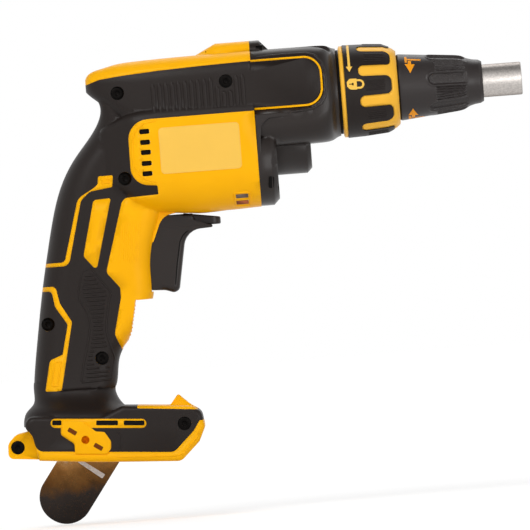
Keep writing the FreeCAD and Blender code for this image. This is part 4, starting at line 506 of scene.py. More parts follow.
def wound_copper(name):
    """Enamelled copper wire: round strands side by side under clear varnish."""
    colour = linear("#B5622F")
    material, tree, shader, place = start_material(
        name, colour, rough=(0.25, 0.4), patch_mm=3.0, Metallic=1.0, Coat_Weight=0.6)
    strands = bands(tree, place, pitch_mm=0.8, direction="DIAGONAL", Distortion=2.0)
    blend_shades(tree, shader, strands, colour, darker=0.5, lighter=1.15)
    raise_grain(tree, shader, strands, depth_mm=0.2)
    return material


def solder_resist(name):
    """Circuit board: glossy green resist, mottled by the glass weave under it."""
    colour = linear("#1F5A34")
    material, tree, shader, place = start_material(
        name, colour, rough=(0.25, 0.4), patch_mm=4.0, IOR=1.5, Coat_Weight=0.4)
    weave = noise(tree, place, size_mm=3.0, detail_level=4.0)
    blend_shades(tree, shader, weave, colour, darker=0.8, lighter=1.25)
    return material


def clear_lens(name):
    """Clear polycarbonate: a smooth moulding, faintly frosted in patches."""
    material, *_ = start_material(
        name, linear("#F4F6F8"), rough=(0.05, 0.25), patch_mm=2.0, IOR=1.585, Transmission_Weight=0.9)
    return material


def printed_film(name, colour):
    """Polyester film: smooth and a little glossy, with faint ripples."""
    material, tree, shader, place = start_material(
        name, colour, rough=(0.28, 0.42), patch_mm=7.0, IOR=1.6)
    cloud = noise(tree, place, size_mm=9.0, detail_level=4.0)
    blend_shades(tree, shader, cloud, colour, darker=0.97, lighter=1.02)
    ripples = noise(tree, place, size_mm=2.5, detail_level=3.0)
    raise_grain(tree, shader, ripples, depth_mm=0.01)
    return material


# Name, colour as a setting or a hex code, roughness, grain size and depth in mm, specular level
MOULDINGS = {
    "nylon": ("glass-filled nylon, moulded", "nylon", (0.36, 0.46), 0.7, 0.012, 0.12),
    "collar": ("nylon, moulded, pale yellow", "collar", (0.3, 0.4), 0.7, 0.01, 0.16),
    "rubber": ("thermoplastic rubber, overmoulded", "rubber", (0.4, 0.52), 0.6, 0.045, 0.2),
    "case": ("black nylon, moulded", "case", (0.28, 0.38), 0.8, 0.014, 0.28),
    "lever": ("black acetal, moulded", "#221B18", (0.28, 0.38), 0.6, 0.01, 0.28),
    "amber_shade": ("glass-filled nylon in shade", "#6E360C", (0.5, 0.65), 0.7, 0.02, 0.1),
    "cone": ("black nylon, moulded matt", "cone", (0.32, 0.42), 0.8, 0.014, 0.28),
    "hollow": ("black nylon in shade", "#0B0908", (0.6, 0.75), 1.0, 0.02, 0.1),
    "ink": ("screen ink, orange", "ink", (0.4, 0.5), 0.5, 0.006, 0.2),
    "cream": ("screen ink, pale yellow", "cream", (0.4, 0.5), 0.5, 0.006, 0.2),
}
# Name, colour, roughness, size of the patches in mm
METALS = {
    "tool": ("tool steel, ground", "#A9A6A3", (0.22, 0.36), 3.0),
    "bearing": ("bearing steel, polished", "#C9C9C9", (0.08, 0.18), 4.0),
    "gear": ("gear steel, oiled", "#8C8882", (0.2, 0.38), 2.5),
    "alloy": ("aluminium, die cast", "#B4B4B4", (0.38, 0.55), 2.0),
    "magnet": ("magnet, nickel coat", "#A5A19A", (0.2, 0.3), 5.0),
    "brass": ("brass, stamped", "#C7A150", (0.25, 0.4), 3.0),
}
MATERIAL_OF_SLOT = {
    "yellow_nylon": "nylon", "black_rubber": "rubber", "black_nylon": "case", "bright_steel": "locator",
    "worn_steel": "strip", "tool_steel": "tool", "bearing_steel": "bearing", "black_screw": "screw",
    "gear_steel": "gear", "cast_alloy": "alloy", "laminated_iron": "iron", "enamelled_copper": "copper",
    "magnet": "magnet", "circuit_board": "board", "brass_terminal": "brass", "clear_lens": "lens",
    "rating_film": "film", "sealing_rubber": "rubber", "switch_case": "lever",
}
FINISHES = {}


def make_materials(colours):
    """Every finish of the tool by its short name, its colours from the settings or its own code."""
    made = {}
    for recipe, rows in ((moulded, MOULDINGS), (inner_metal, METALS)):
        for key, (name, code, *values) in rows.items():
            colour = linear(code) if code.startswith("#") else tuple(getattr(colours, code))
            made[key] = recipe(name, colour, *values)
    made["film"] = printed_film("polyester rating film", tuple(colours.film))
    made["locator"] = turned_steel("zinc-plated steel, turned", tuple(colours.steel))
    # The hook strip paints light: a highlight at the top, the housing's reflection and shade at its round end
    made["strip"] = strip_with_painted_light("spring steel strip, rubbed")
    made["screw"] = blackened_steel("screw steel, black oxide")
    made["iron"] = stacked_iron("electrical sheet, stacked")
    made["copper"] = wound_copper("enamelled copper, wound")
    made["board"] = solder_resist("glass laminate, solder resist")
    made["lens"] = clear_lens("clear polycarbonate, moulded")
    return made


# Shapes


def add_object(name, mesh):
    """A new object in the scene."""
    piece = bpy.data.objects.new(name, mesh)
    bpy.context.scene.collection.objects.link(piece)
    return piece


def new_piece(name, vertices, faces, look, smooth=40.0):
    """A closed mesh object from arrays, smooth below the given edge angle, its faces turned outward."""
    mesh = bpy.data.meshes.new(name)
    mesh.from_pydata(np.asarray(vertices).reshape(-1, 3).tolist(), [], faces)
    mesh.update()
    piece = add_object(name, mesh)
    settle(piece, look, smooth)
    work = bmesh.new()
    work.from_mesh(mesh)
    bmesh.ops.recalc_face_normals(work, faces=work.faces)
    work.to_mesh(mesh)
    work.free()
    return piece


def settle(piece, look, smooth):
    """Give a piece its finish, its shading and its body."""
    material, body, slot = look
    piece.data.materials.clear()
    piece.data.materials.append(FINISHES[material])
    smooth_below(piece.data, smooth)
    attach(piece, body)


def smooth_below(mesh, degrees):
    """Shade a mesh smooth and keep edges sharper than the angle."""
    mesh.polygons.foreach_set("use_smooth", np.ones(len(mesh.polygons), bool))
    mesh.set_sharp_from_angle(angle=math.radians(degrees))


def smooth_copy(node, name, material=None, crease=32.0, edge=0.0):
    """A merged, smooth-shaded copy of a CAD node that stands for it, its edges rounded if asked.

    Flat triangles are joined first where the rounding needs clean edges.
    """
    mesh = NODES[node].data.copy()
    work = bmesh.new()
    work.from_mesh(mesh)
    bmesh.ops.remove_doubles(work, verts=work.verts, dist=SAME_POINT)
    bmesh.ops.dissolve_degenerate(work, edges=work.edges, dist=NO_LENGTH)
    if edge > 0:
        bmesh.ops.dissolve_limit(work, angle_limit=math.radians(FLAT_ANGLE), verts=work.verts,
                                 edges=work.edges)
    work.to_mesh(mesh)
    work.free()
    mesh.name = name
    piece = add_object(name, mesh)
    slot = SLOT_OF[node]
    settle(piece, (material or MATERIAL_OF_SLOT[slot], BODY_OF[node], slot), crease)
    if edge > 0:
        round_edges(piece, edge, crease)
    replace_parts(piece, node)
    return piece


def round_edges(piece, width, angle):
    """Round the edges that are sharper than the angle, and keep the result as the piece's own mesh."""
    modifier = piece.modifiers.new("rounding", "BEVEL")
    modifier.width = width
    modifier.segments = EDGE_STEPS
    modifier.limit_method = "ANGLE"
    modifier.angle_limit = math.radians(angle)
    graph = bpy.context.evaluated_depsgraph_get()
    mesh = bpy.data.meshes.new_from_object(piece.evaluated_get(graph))
    piece.modifiers.clear()
    piece.data = mesh
    smooth_below(mesh, angle)


def grid_faces(rows, columns, wrap=False, ring=False):
    """Quads over a grid of points, closed round its columns, or both ways, if asked."""
    index = np.arange(rows * columns).reshape(rows, columns)
    right = np.roll(index, -1, axis=1)
    quads = np.stack([index, right, np.roll(right, -1, axis=0), np.roll(index, -1, axis=0)], axis=-1)
    quads = quads[:rows if ring else -1, :columns if wrap or ring else -1]
    return quads.reshape(-1, 4).tolist()


def revolved(profile, turns):
    """A closed (x, radius) profile carried round the X axis: y = -r sin t, z = r cos t."""
    angle = np.linspace(0, 2 * np.pi, turns, endpoint=False)
    x, radius = profile[:, 0, None], profile[:, 1, None]
    return np.stack([x + 0 * angle, -radius * np.sin(angle), radius * np.cos(angle)], axis=-1)


def lathed(name, profile, look, **shading):
    """A piece whose closed (x, radius) profile is carried round the X axis."""
    faces = grid_faces(len(profile), LATHE_TURNS, ring=True)
    return new_piece(name, revolved(profile, LATHE_TURNS), faces, look, **shading)


def on_surface(target, points, axis, sign):
    """Points carried along one axis, towards plus or minus, onto a piece's surface."""
    flat = np.asarray(points, float).reshape(-1, 3)
    mesh = bpy.data.meshes.new("probe")
    mesh.vertices.add(len(flat))
    mesh.vertices.foreach_set("co", flat.ravel())
    probe = add_object("probe", mesh)
    wrap = probe.modifiers.new("wrap", "SHRINKWRAP")
    wrap.target = target
    wrap.wrap_method = "PROJECT"
    setattr(wrap, "use_project_" + axis, True)
    wrap.use_positive_direction = sign > 0
    wrap.use_negative_direction = sign < 0
    bpy.context.view_layer.update()
    graph = bpy.context.evaluated_depsgraph_get()
    landed = np.empty(len(flat) * 3)
    probe.evaluated_get(graph).data.vertices.foreach_get("co", landed)
    bpy.data.objects.remove(probe)
    bpy.data.meshes.remove(mesh)
    landed = landed.reshape(-1, 3)
    if np.any(np.linalg.norm(landed - flat, axis=1) < MISSED):
        raise RuntimeError("a detail has no surface under it on " + target.name)
    return landed.reshape(np.asarray(points).shape)


def unit(vectors):
    """Vectors of length one."""
    return vectors / np.maximum(np.linalg.norm(vectors, axis=-1, keepdims=True), 1e-12)


def pairs(first, second):
    """Rows of two coordinates, either of which may be one value for all."""
    return np.column_stack(np.broadcast_arrays(first, second))


def rib_piece(name, lanes, outward, size, look):
    """Ribs on a surface: an ellipse carried along each middle line, drawn in at both ends.

    P = M + T w/2 cos a + N h max(sin a, -1/2), where T runs from the left lane to the right one, N is
    square to T and to the line's run on the outward side, and w and h fade to nothing over the last points.
    """
    left, middle, right = lanes
    width, height = size
    run = unit(np.gradient(middle, axis=1))
    across = unit(right - left)
    normal = unit(np.cross(run, across))
    normal = np.where((normal * outward).sum(-1, keepdims=True) < 0, -normal, normal)
    rows = middle.shape[1]
    fade = np.sqrt(np.clip(1 - np.abs(np.linspace(-1, 1, rows)) ** RIB_FADE, RIB_END, 1))[None, :, None, None]
    angle = np.linspace(0, 2 * np.pi, RIB_SIDES, endpoint=False)[None, None, :, None]
    points = (middle[:, :, None] + across[:, :, None] * (width / 2 * fade * np.cos(angle))
              + normal[:, :, None] * (height * fade * np.maximum(np.sin(angle), -RIB_SUNK)))
    one = grid_faces(rows, RIB_SIDES, wrap=True)
    step = rows * RIB_SIDES
    one += [list(range(RIB_SIDES - 1, -1, -1)), list(range(step - RIB_SIDES, step))]
    faces = [[corner + tube * step for corner in face] for tube in range(len(points)) for face in one]
    return new_piece(name, points, faces, look, smooth=60.0)


def side_ribs(name, target, lines, size, side, look):
    """Ribs along lines of (x, z) points on one side of a piece, laid on its surface."""
    run = unit(np.gradient(lines, axis=1))
    across = np.stack([-run[..., 1], run[..., 0]], axis=-1) * size[0] / 2
    lanes = np.stack([lines - across, lines, lines + across])
    spots = np.stack([lanes[..., 0], np.full(lanes.shape[:-1], side * OUT_OF_REACH), lanes[..., 1]], axis=-1)
    return rib_piece(name, on_surface(target, spots, "y", -side), np.array([0.0, side, 0.0]), size, look)


def path_rib(name, target, corners, count, size, side, look):
    """One rib of count points along a path through corners, laid on one side of a piece."""
    return side_ribs(name, target, even_path(corners, count)[None], size, side, look)


def front_ribs(name, target, heights, span, size, look):
    """Level ribs across the front of a piece, over a span of y."""
    z = np.asarray(heights)[:, None] + np.zeros(RIB_POINTS)
    y = np.broadcast_to(np.linspace(*span, RIB_POINTS), z.shape)
    spots = np.stack([np.stack([np.full(z.shape, -OUT_OF_REACH), y, z + shift * size[0] / 2], axis=-1)
                      for shift in (-1, 0, 1)])
    return rib_piece(name, on_surface(target, spots, "x", -1), np.array([1.0, 0.0, 0.0]), size, look)


def round_ribs(name, radius, angles, run, size, look):
    """Ribs along X on a surface of revolution, at angles from the top towards the near side."""
    x = np.linspace(*run, ROUND_RIB_POINTS)[None, :]
    r = radius(x)
    turn = np.asarray(angles)[:, None]
    turns = [turn + shift * size[0] / 2 / r for shift in (-1, 0, 1)]
    lanes = [np.stack([x + 0 * turn, -r * np.sin(t), r * np.cos(t)], axis=-1) for t in turns]
    return rib_piece(name, lanes, lanes[1] * np.array([0.0, 1.0, 1.0]), size, look)


def straight(starts, ends):
    """Straight lines of points from each start to its end."""
    share = np.linspace(0, 1, RIB_POINTS)[None, :, None]
    return starts[:, None] * (1 - share) + ends[:, None] * share


def closed(line):
    """A line brought back to its first point."""
    return np.concatenate([line, line[:1]])


def even_path(corners, count, loop=False):
    """Count points at even steps along a path through corners, or round a loop of them."""
    corners = closed(corners) if loop else corners
    length = np.concatenate([[0], np.cumsum(np.linalg.norm(np.diff(corners, axis=0), axis=1))])
    at = np.linspace(0, length[-1], count, endpoint=not loop)
    return np.column_stack([np.interp(at, length, column) for column in corners.T])


def clear_of(starts, ends, centre, radius):
    """Straight ribs cut back from a round hole: a rib that meets it becomes its two outer stretches."""
    run = unit(ends - starts)
    length = np.linalg.norm(ends - starts, axis=1)
    offset = centre - starts
    along = (offset * run).sum(axis=1)
    aside = np.abs(run[:, 0] * offset[:, 1] - run[:, 1] * offset[:, 0])
    half = np.sqrt(np.clip(radius ** 2 - aside ** 2, 0, None))
    met = (aside < radius) & (along + half > 0) & (along - half < length)
    near, far = (starts + run * np.clip(place, 0, length)[:, None] for place in (along - half, along + half))
    starts, ends = (np.concatenate([starts[~met], starts[met], far[met]]),
                    np.concatenate([ends[~met], near[met], ends[met]]))
    kept = np.linalg.norm(ends - starts, axis=1) > SHORTEST_RIB
    return starts[kept], ends[kept]


def plate(name, outline, ends, look):
    """An outline in the XZ plane carried along Y from one end to the other."""
    count = len(outline)
    points = [np.column_stack([outline[:, 0], np.full(count, y), outline[:, 1]]) for y in ends]
    faces = grid_faces(2, count, wrap=True) + [list(range(count)), list(range(2 * count - 1, count - 1, -1))]
    return new_piece(name, np.concatenate(points), faces, look, smooth=30.0)


def pillow(name, outline, low, high, rounding, axis, look):
    """An outline carried along Y or Z between two ends, each a line e = c + s x, with rounded rims.

    Round the rims the outline is drawn in along its own normals by r (1 - cos a), at r (1 - sin a)
    from the end.
    """
    after = np.roll(outline, -1, axis=0)
    run = unit(after - np.roll(outline, 1, axis=0))
    turn = np.sum(outline[:, 0] * after[:, 1] - after[:, 0] * outline[:, 1])
    inward = np.column_stack([-run[:, 1], run[:, 0]]) * np.sign(turn)
    angle = np.linspace(0, np.pi / 2, RIM_STEPS)[:, None]
    drawn, sunk = rounding * (1 - np.cos(angle)), rounding * (1 - np.sin(angle))
    places = outline + inward * drawn[..., None]
    x = places[..., 0]
    along = np.concatenate([(low[0] + low[1] * x + sunk)[::-1], high[0] + high[1] * x - sunk])
    places = np.concatenate([places[::-1], places])
    order = (0, 2, 1) if axis == "y" else (0, 1, 2)
    points = np.stack([places[..., 0], places[..., 1], along], axis=-1)[..., order]
    rows, columns = along.shape
    faces = grid_faces(rows, columns, wrap=True)
    faces += [list(range(columns)), list(range(rows * columns - 1, (rows - 1) * columns - 1, -1))]
    return new_piece(name, points, faces, look, smooth=50.0)


def rounded(corners, steps=7):
    """An outline whose corners (x, z, radius) are rounded by points of tangent arcs."""
    places, radius = corners[:, :2], np.maximum(corners[:, 2], 1e-6)
    back = unit(np.roll(places, 1, axis=0) - places)
    ahead = unit(np.roll(places, -1, axis=0) - places)
    half = np.arccos(np.clip((back * ahead).sum(axis=1), -1, 1)) / 2
    centre = places + unit(back + ahead) * (radius / np.sin(half))[:, None]
    first, last = (places + way * (radius / np.tan(half))[:, None] - centre for way in (back, ahead))
    share = np.linspace(0, 1, steps)[None, :, None]
    arc = unit(first[:, None] * (1 - share) + last[:, None] * share) * radius[:, None, None]
    return (centre[:, None] + arc).reshape(-1, 2)


def box_outline(x0, z0, x1, z1, radius):
    """A rounded box as an outline."""
    return rounded(np.array([(x0, z0, radius), (x1, z0, radius), (x1, z1, radius), (x0, z1, radius)]))


def tilted_box(centre, size, degrees):
    """A rounded box of a length, height and radius about a centre, turned by an angle."""
    length, height, radius = size
    flat = box_outline(-length / 2, -height / 2, length / 2, height / 2, radius)
    cosine, sine = math.cos(math.radians(degrees)), math.sin(math.radians(degrees))
    return centre + flat @ np.array([[cosine, sine], [-sine, cosine]])


def foot_places(places):
    """Tool coordinates (x, z) of places in the pitched foot's frame."""
    x, z = places.T
    cosine, sine = math.cos(FOOT_PITCH), math.sin(FOOT_PITCH)
    return np.column_stack([FOOT_X + x * cosine + z * sine, FOOT_Z - x * sine + z * cosine])


def collar_radius(x):
    """The collar's outside radius at x."""
    return np.interp((x - COLLAR_REAR) / COLLAR_LENGTH, *COLLAR_SHARES.T) * COLLAR_RADIUS


def lobe_radius(x):
    """The raised lobes' radius at x."""
    return collar_radius(x) + detail().lobe_rise


def cone_radius(x):
    """The nose cone's outside radius at x."""
    return np.interp((x - CONE_REAR) / CONE_LENGTH, *CONE_SHARES.T) * CONE_RADIUS


def strip(path, half, columns=3):
    """A flat strip of the given half widths about a path of (along, around) points."""
    run = unit(np.gradient(path, axis=0))
    across = np.column_stack([-run[:, 1], run[:, 0]])
    share = np.linspace(-1, 1, columns)
    return path[:, None] + across[:, None] * (np.broadcast_to(half, len(path))[:, None] * share)[..., None]


def arrow(x, first, last, shaft, head_length, head):
    """An arrow's strip round the axis at x, from the first to the last place, its tip at the last."""
    way = 1 if last > first else -1
    neck = last - way * head_length
    around = np.concatenate([np.linspace(first, neck, SHAFT_POINTS),
                             np.linspace(neck + way * ARROW_NECK, last, HEAD_POINTS)])
    half = np.concatenate([np.full(SHAFT_POINTS, shaft), np.linspace(head, ARROW_TIP, HEAD_POINTS)])
    return strip(pairs(x, around), half)


def sign(name, strips, radius, rise, look):
    """A printed sign on a surface of revolution, from strips of (x, angle times outside radius) points.

    Each strip is laid at r + rise and r - rise, r being the radius at x, and closed round its border.
    """
    points, faces, start = [], [], 0
    for flat in strips:
        rows, columns = flat.shape[:2]
        x = flat[..., 0]
        r = radius(x)
        turn = flat[..., 1] / r
        layers = [np.stack([x, -(r + lift) * np.sin(turn), (r + lift) * np.cos(turn)], axis=-1)
                  for lift in (rise, -rise)]
        points.append(np.concatenate(layers).reshape(-1, 3))
        size = rows * columns
        upper = np.array(grid_faces(rows, columns)) + start
        index = start + np.arange(size).reshape(rows, columns)
        border = np.concatenate([index[0, :-1], index[:-1, -1], index[-1, :0:-1], index[:0:-1, 0]])
        after = np.roll(border, -1)
        sides = np.stack([border, border + size, after + size, after], axis=-1)
        faces += upper.tolist() + (upper[:, ::-1] + size).tolist() + sides.tolist()
        start += 2 * size
    return new_piece(name, np.concatenate(points), faces, look, smooth=50.0)


# Operators


class SCREWDRIVER_OT_housing(bpy.types.Operator):
    """Dress the two shells and their soft grips"""

    bl_idname = "screwdriver.housing"
    bl_label = "Housing and grips"

    def execute(self, context):
        """Smooth the shells and grips and lay the ribs on them."""
        sizes = detail()
        for side, sign_of in SIDES:
            shell = smooth_copy("housing_" + side, "shell_" + side)
            grip = smooth_copy("grip_" + side, "soft_grip_" + side)
            self.handle(grip, side, sign_of, sizes)
            self.band(grip, side, sign_of, sizes)
            self.throat(shell, side, sign_of)
            self.trim(shell, side, sign_of)
        return {"FINISHED"}

    def handle(self, grip, side, sign_of, sizes):
        """Fine level ribs in a rimmed panel on the handle, clear of the screw on the right."""
        pitch = sizes.rib_pitch
        z = np.arange(PANEL_REAR[0, 1] - pitch, PANEL_REAR[-1, 1] + pitch, -pitch)
        starts, ends = (pairs(np.interp(-z, -edge[:, 1], edge[:, 0]) + inset, z)
                        for edge, inset in ((PANEL_REAR, PANEL_INSET), (PANEL_FRONT, -PANEL_INSET)))
        if sign_of < 0:
            starts, ends = clear_of(starts, ends, SCREW_PLACES[HANDLE_SCREW], HOLE_MARGIN)
        size = (sizes.rib_width, sizes.rib_height)
        side_ribs("handle_ribs_" + side, grip, straight(starts, ends), size, sign_of, ON_GRIP)
        path_rib("panel_rim_" + side, grip, closed(np.concatenate([PANEL_REAR, PANEL_FRONT[::-1]])),
                 PANEL_RIM_POINTS, (sizes.rib_width, sizes.rib_height * PANEL_RIM_SHARE), sign_of, ON_GRIP)

    def band(self, grip, side, sign_of, sizes):
        """Upright bars on the upper band, clear of the screw on the right."""
        x = np.arange(*BAND_RUN, sizes.band_pitch)
        starts, ends = pairs(x, BAND_LOW), pairs(x, np.interp(x, BAND_RUN, BAND_HIGH))
        if sign_of < 0:
            starts, ends = clear_of(starts, ends, SCREW_PLACES[BAND_SCREW], HOLE_MARGIN)
        size = (sizes.band_pitch * BAND_WIDTH_SHARE, sizes.rib_height * BAND_HEIGHT_SHARE)
        side_ribs("band_bars_" + side, grip, straight(starts, ends), size, sign_of, ON_GRIP)

    def throat(self, shell, side, sign_of):
        """Fine upright ribs on the yellow throat beside the trigger, and level ones on its front edge."""
        starts, ends = pairs(THROAT_X, THROAT_LOW), pairs(THROAT_X + THROAT_LEAN, THROAT_HIGH)
        if sign_of > 0:
            low, high = (np.array(corner)[[0, 2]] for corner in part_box("lock_on_button"))
            starts, ends = clear_of(starts, ends, (low + high) / 2, (high - low).max() / 2 + BUTTON_MARGIN)
        side_ribs("throat_ribs_" + side, shell, straight(starts, ends), THROAT_RIB, sign_of, ON_SHELL)
        front_ribs("edge_ribs_" + side, shell, EDGE_HEIGHTS, sign_of * EDGE_SPAN, EDGE_RIB, ON_SHELL)

    def trim(self, shell, side, sign_of):
        """Raised lips round the motor's panel, the window and the tabs, and along the foot's rail."""
        lines = [("panel_lip_", PANEL_LIP, LIP_POINTS), ("rail_lip_", RAIL_LIP, LIP_POINTS),
                 ("window_frame_", closed(box_outline(*WINDOW_FRAME, FRAME_RADIUS)), FRAME_POINTS)]
        lines += [("tab_%d_" % index, closed(corners), LIP_POINTS) for index, corners in enumerate(TABS)]
        for name, line, count in lines:
            path_rib(name + side, shell, line, count, LIP, sign_of, ON_SHELL)


class SCREWDRIVER_OT_case(bpy.types.Operator):
    """Dress the gear case, the rating film, the screws and the vents"""

    bl_idname = "screwdriver.case"
    bl_label = "Gear case, film, screws and vents"

    def execute(self, context):
        """Smooth the case and the fasteners, fill the gap behind the collar with a dark ring of painted
        shade, and put plates of painted shade in the screw holes and the vents.
        """
        case = smooth_copy("gear_case", "gear_case_body")
        for side, sign_of in SIDES:
            self.relief(case, side, sign_of)
            self.exhaust(side, sign_of)
        # The gap behind the collar, filled with a dark ring of painted shade
        lathed("collar_felt", pairs([GAP_SHADE_REAR, GAP_SHADE_REAR, GAP_SHADE_FRONT, GAP_SHADE_FRONT],
                                    [GAP_SHADE_INNER, GAP_SHADE_OUTER, GAP_SHADE_OUTER, GAP_SHADE_INNER]),
               ("hollow", "housing", "sealing_rubber"))
        smooth_copy("rating_plate", "rating_film_bare")
        smooth_copy("gear_case_screws", "case_bolts", edge=SCREW_EDGE)
        smooth_copy("hook_screw", "hook_bolt", edge=SCREW_EDGE)
        self.washers(smooth_copy("housing_screws", "shell_screws", edge=SCREW_EDGE))
        for index, z in enumerate(VENT_HEIGHTS):
            outline = box_outline(VENT_REAR, z - VENT_HALF, VENT_FRONT, z + VENT_HALF, VENT_RADIUS)
            # A dark plate of painted shade inside each vent
            plate("vent_screen_%d" % index, outline, (VENT_DEPTH, VENT_DEPTH + VENT_SHADE_THICK), IN_SHADE)
        return {"FINISHED"}

    def relief(self, case, side, sign_of):
        """The flange beside the housing, the rim round the band's end, and a dark line of painted shade
        in the lower screw's recess.
        """
        outline = even_path(rounded(CASE_FLANGE), FLANGE_POINTS, True)
        face = (sign_of * FLANGE_TOP, sign_of * FLANGE_SLOPE)
        ends = [(sign_of * FLANGE_BASE, 0.0), face][::sign_of]
        pillow("case_flange_" + side, outline, *ends, FLANGE_ROUND, "y", ON_CASE)
        path_rib("band_rim_" + side, case, BAND_RIM, CASE_LINE_POINTS, BAND_LIP, sign_of, ON_CASE)
        path_rib("case_recess_" + side, case, CASE_RECESS_SHADE, CASE_LINE_POINTS, RECESS_SHADE_LINE, sign_of, IN_SHADE)

    def exhaust(self, side, sign_of):
        """Metal seen behind the exhaust window: the motor's can above the bar, copper below it."""
        x0, z0, x1, z1 = WINDOW
        middle = (z0 + z1) / 2
        can = box_outline(x0 - CAN_SIDE, middle, x1 + CAN_SIDE, z1 + CAN_TOP, BEHIND_RADIUS)
        winding = box_outline(x0, z0, x1, middle - WINDING_DROP, BEHIND_RADIUS)
        for name, outline, depth, material, slot in (
                ("motor_can_", can, CAN_DEPTH, "alloy", "cast_alloy"),
                ("winding_end_", winding, WINDING_DEPTH, "copper", "enamelled_copper")):
            plate(name + side, outline, (sign_of * depth, sign_of * (depth + BEHIND_THICK)),
                  (material, "housing", slot))

    def washers(self, screws):
        """A dark ring of painted shade round each screw's head in its hole: a small square section carried
        round the screw's axis.
        """
        beside = SCREW_PLACES + SHADE_RING_PROBE
        spots = np.column_stack([beside[:, 0], np.full(len(beside), -OUT_OF_REACH), beside[:, 1]])
        top = on_surface(screws, spots, "y", 1)[:, 1]
        angle = np.linspace(0, 2 * np.pi, SHADE_RING_TURNS, endpoint=False)
        radius, depth = SHADE_RING[:, 0, None], SHADE_RING[:, 1, None]
        across, up = radius * np.cos(angle), radius * np.sin(angle)
        rings = [np.stack([x + across, y + depth + 0 * angle, z + up], axis=-1)
                 for (x, z), y in zip(SCREW_PLACES, top)]
        one = np.array(grid_faces(len(SHADE_RING), SHADE_RING_TURNS, ring=True))
        faces = [(one + index * len(SHADE_RING) * SHADE_RING_TURNS).tolist() for index in range(len(rings))]
        new_piece("screw_washers", np.stack(rings), sum(faces, []), ("hollow", "housing", "black_screw"))


class SCREWDRIVER_OT_collar(bpy.types.Operator):
    """Dress the lock collar with its soft lobes and signs"""

    bl_idname = "screwdriver.collar"
    bl_label = "Lock collar"

    def execute(self, context):
        """Raise the lobes, rib them and print the lock and the arrow."""
        sizes = detail()
        smooth_copy("collar_ring", "lock_collar_ring", "collar")
        lobes = smooth_copy("collar_grip", "lock_collar_lobes")
        points = np.empty(len(lobes.data.vertices) * 3)
        lobes.data.vertices.foreach_get("co", points)
        points = points.reshape(-1, 3)
        radius = np.hypot(points[:, 1], points[:, 2])
        outside = radius > collar_radius(points[:, 0]) - LOBE_SKIN
        points[:, 1:] *= np.where(outside, 1 + sizes.lobe_rise / radius, 1.0)[:, None]
        lobes.data.vertices.foreach_set("co", points.ravel())
        lobes.data.update()
        lobe = np.radians(FINGER_TURN + 360 / FINGERS * (np.arange(FINGERS) + 0.5))[:, None]
        turns = lobe + LOBE_RIBS * LOBE_RIB_PITCH / COLLAR_RADIUS
        round_ribs("lobe_ribs", lobe_radius, turns.ravel(), LOBE_RIB_RUN, LOBE_RIB,
                   ("rubber", "collar", "black_rubber"))
        self.print_signs(sizes.print_rise)
        return {"FINISHED"}

    def print_signs(self, rise):
        """An arrow round the rear of the lobes and a padlock that lies on its side."""
        down = arrow(COLLAR_ARROW_X, *(COLLAR_ARROW_TURNS * COLLAR_RADIUS), *COLLAR_ARROW)
        middle = LOCK_TURN * COLLAR_RADIUS
        share = np.linspace(0, 1, LOCK_POINTS)
        shoulder = 1 - np.minimum(share / LOCK_ROUND, 1)
        case = strip(pairs(LOCK_REAR + LOCK_LENGTH * share, middle),
                     LOCK_HALF * np.sqrt(np.clip(1 - shoulder ** 2, LOCK_END, 1)), LOCK_COLUMNS)
        bend = np.linspace(-np.pi / 2, np.pi / 2, BOW_POINTS)
        bow = pairs(BOW_X + BOW_RADIUS * np.cos(bend), middle + BOW_RADIUS * np.sin(bend))
        legs = pairs(BOW_FOOT, middle + BOW_RADIUS * np.array([-1, 1]))
        shackle = strip(np.concatenate([legs[:1], bow, legs[1:]]), BOW_HALF)
        sign("collar_signs", [down, case, shackle], lobe_radius, rise, ("cream", "collar", "black_rubber"))
        hole = pairs(np.linspace(*KEY_RUN, KEY_POINTS), middle)
        key = strip(hole, np.where(hole[:, 0] < KEY_STEP, *KEY_HALVES))
        sign("collar_keyhole", [key], lobe_radius, rise * KEY_LIFT, ("hollow", "collar", "black_rubber"))


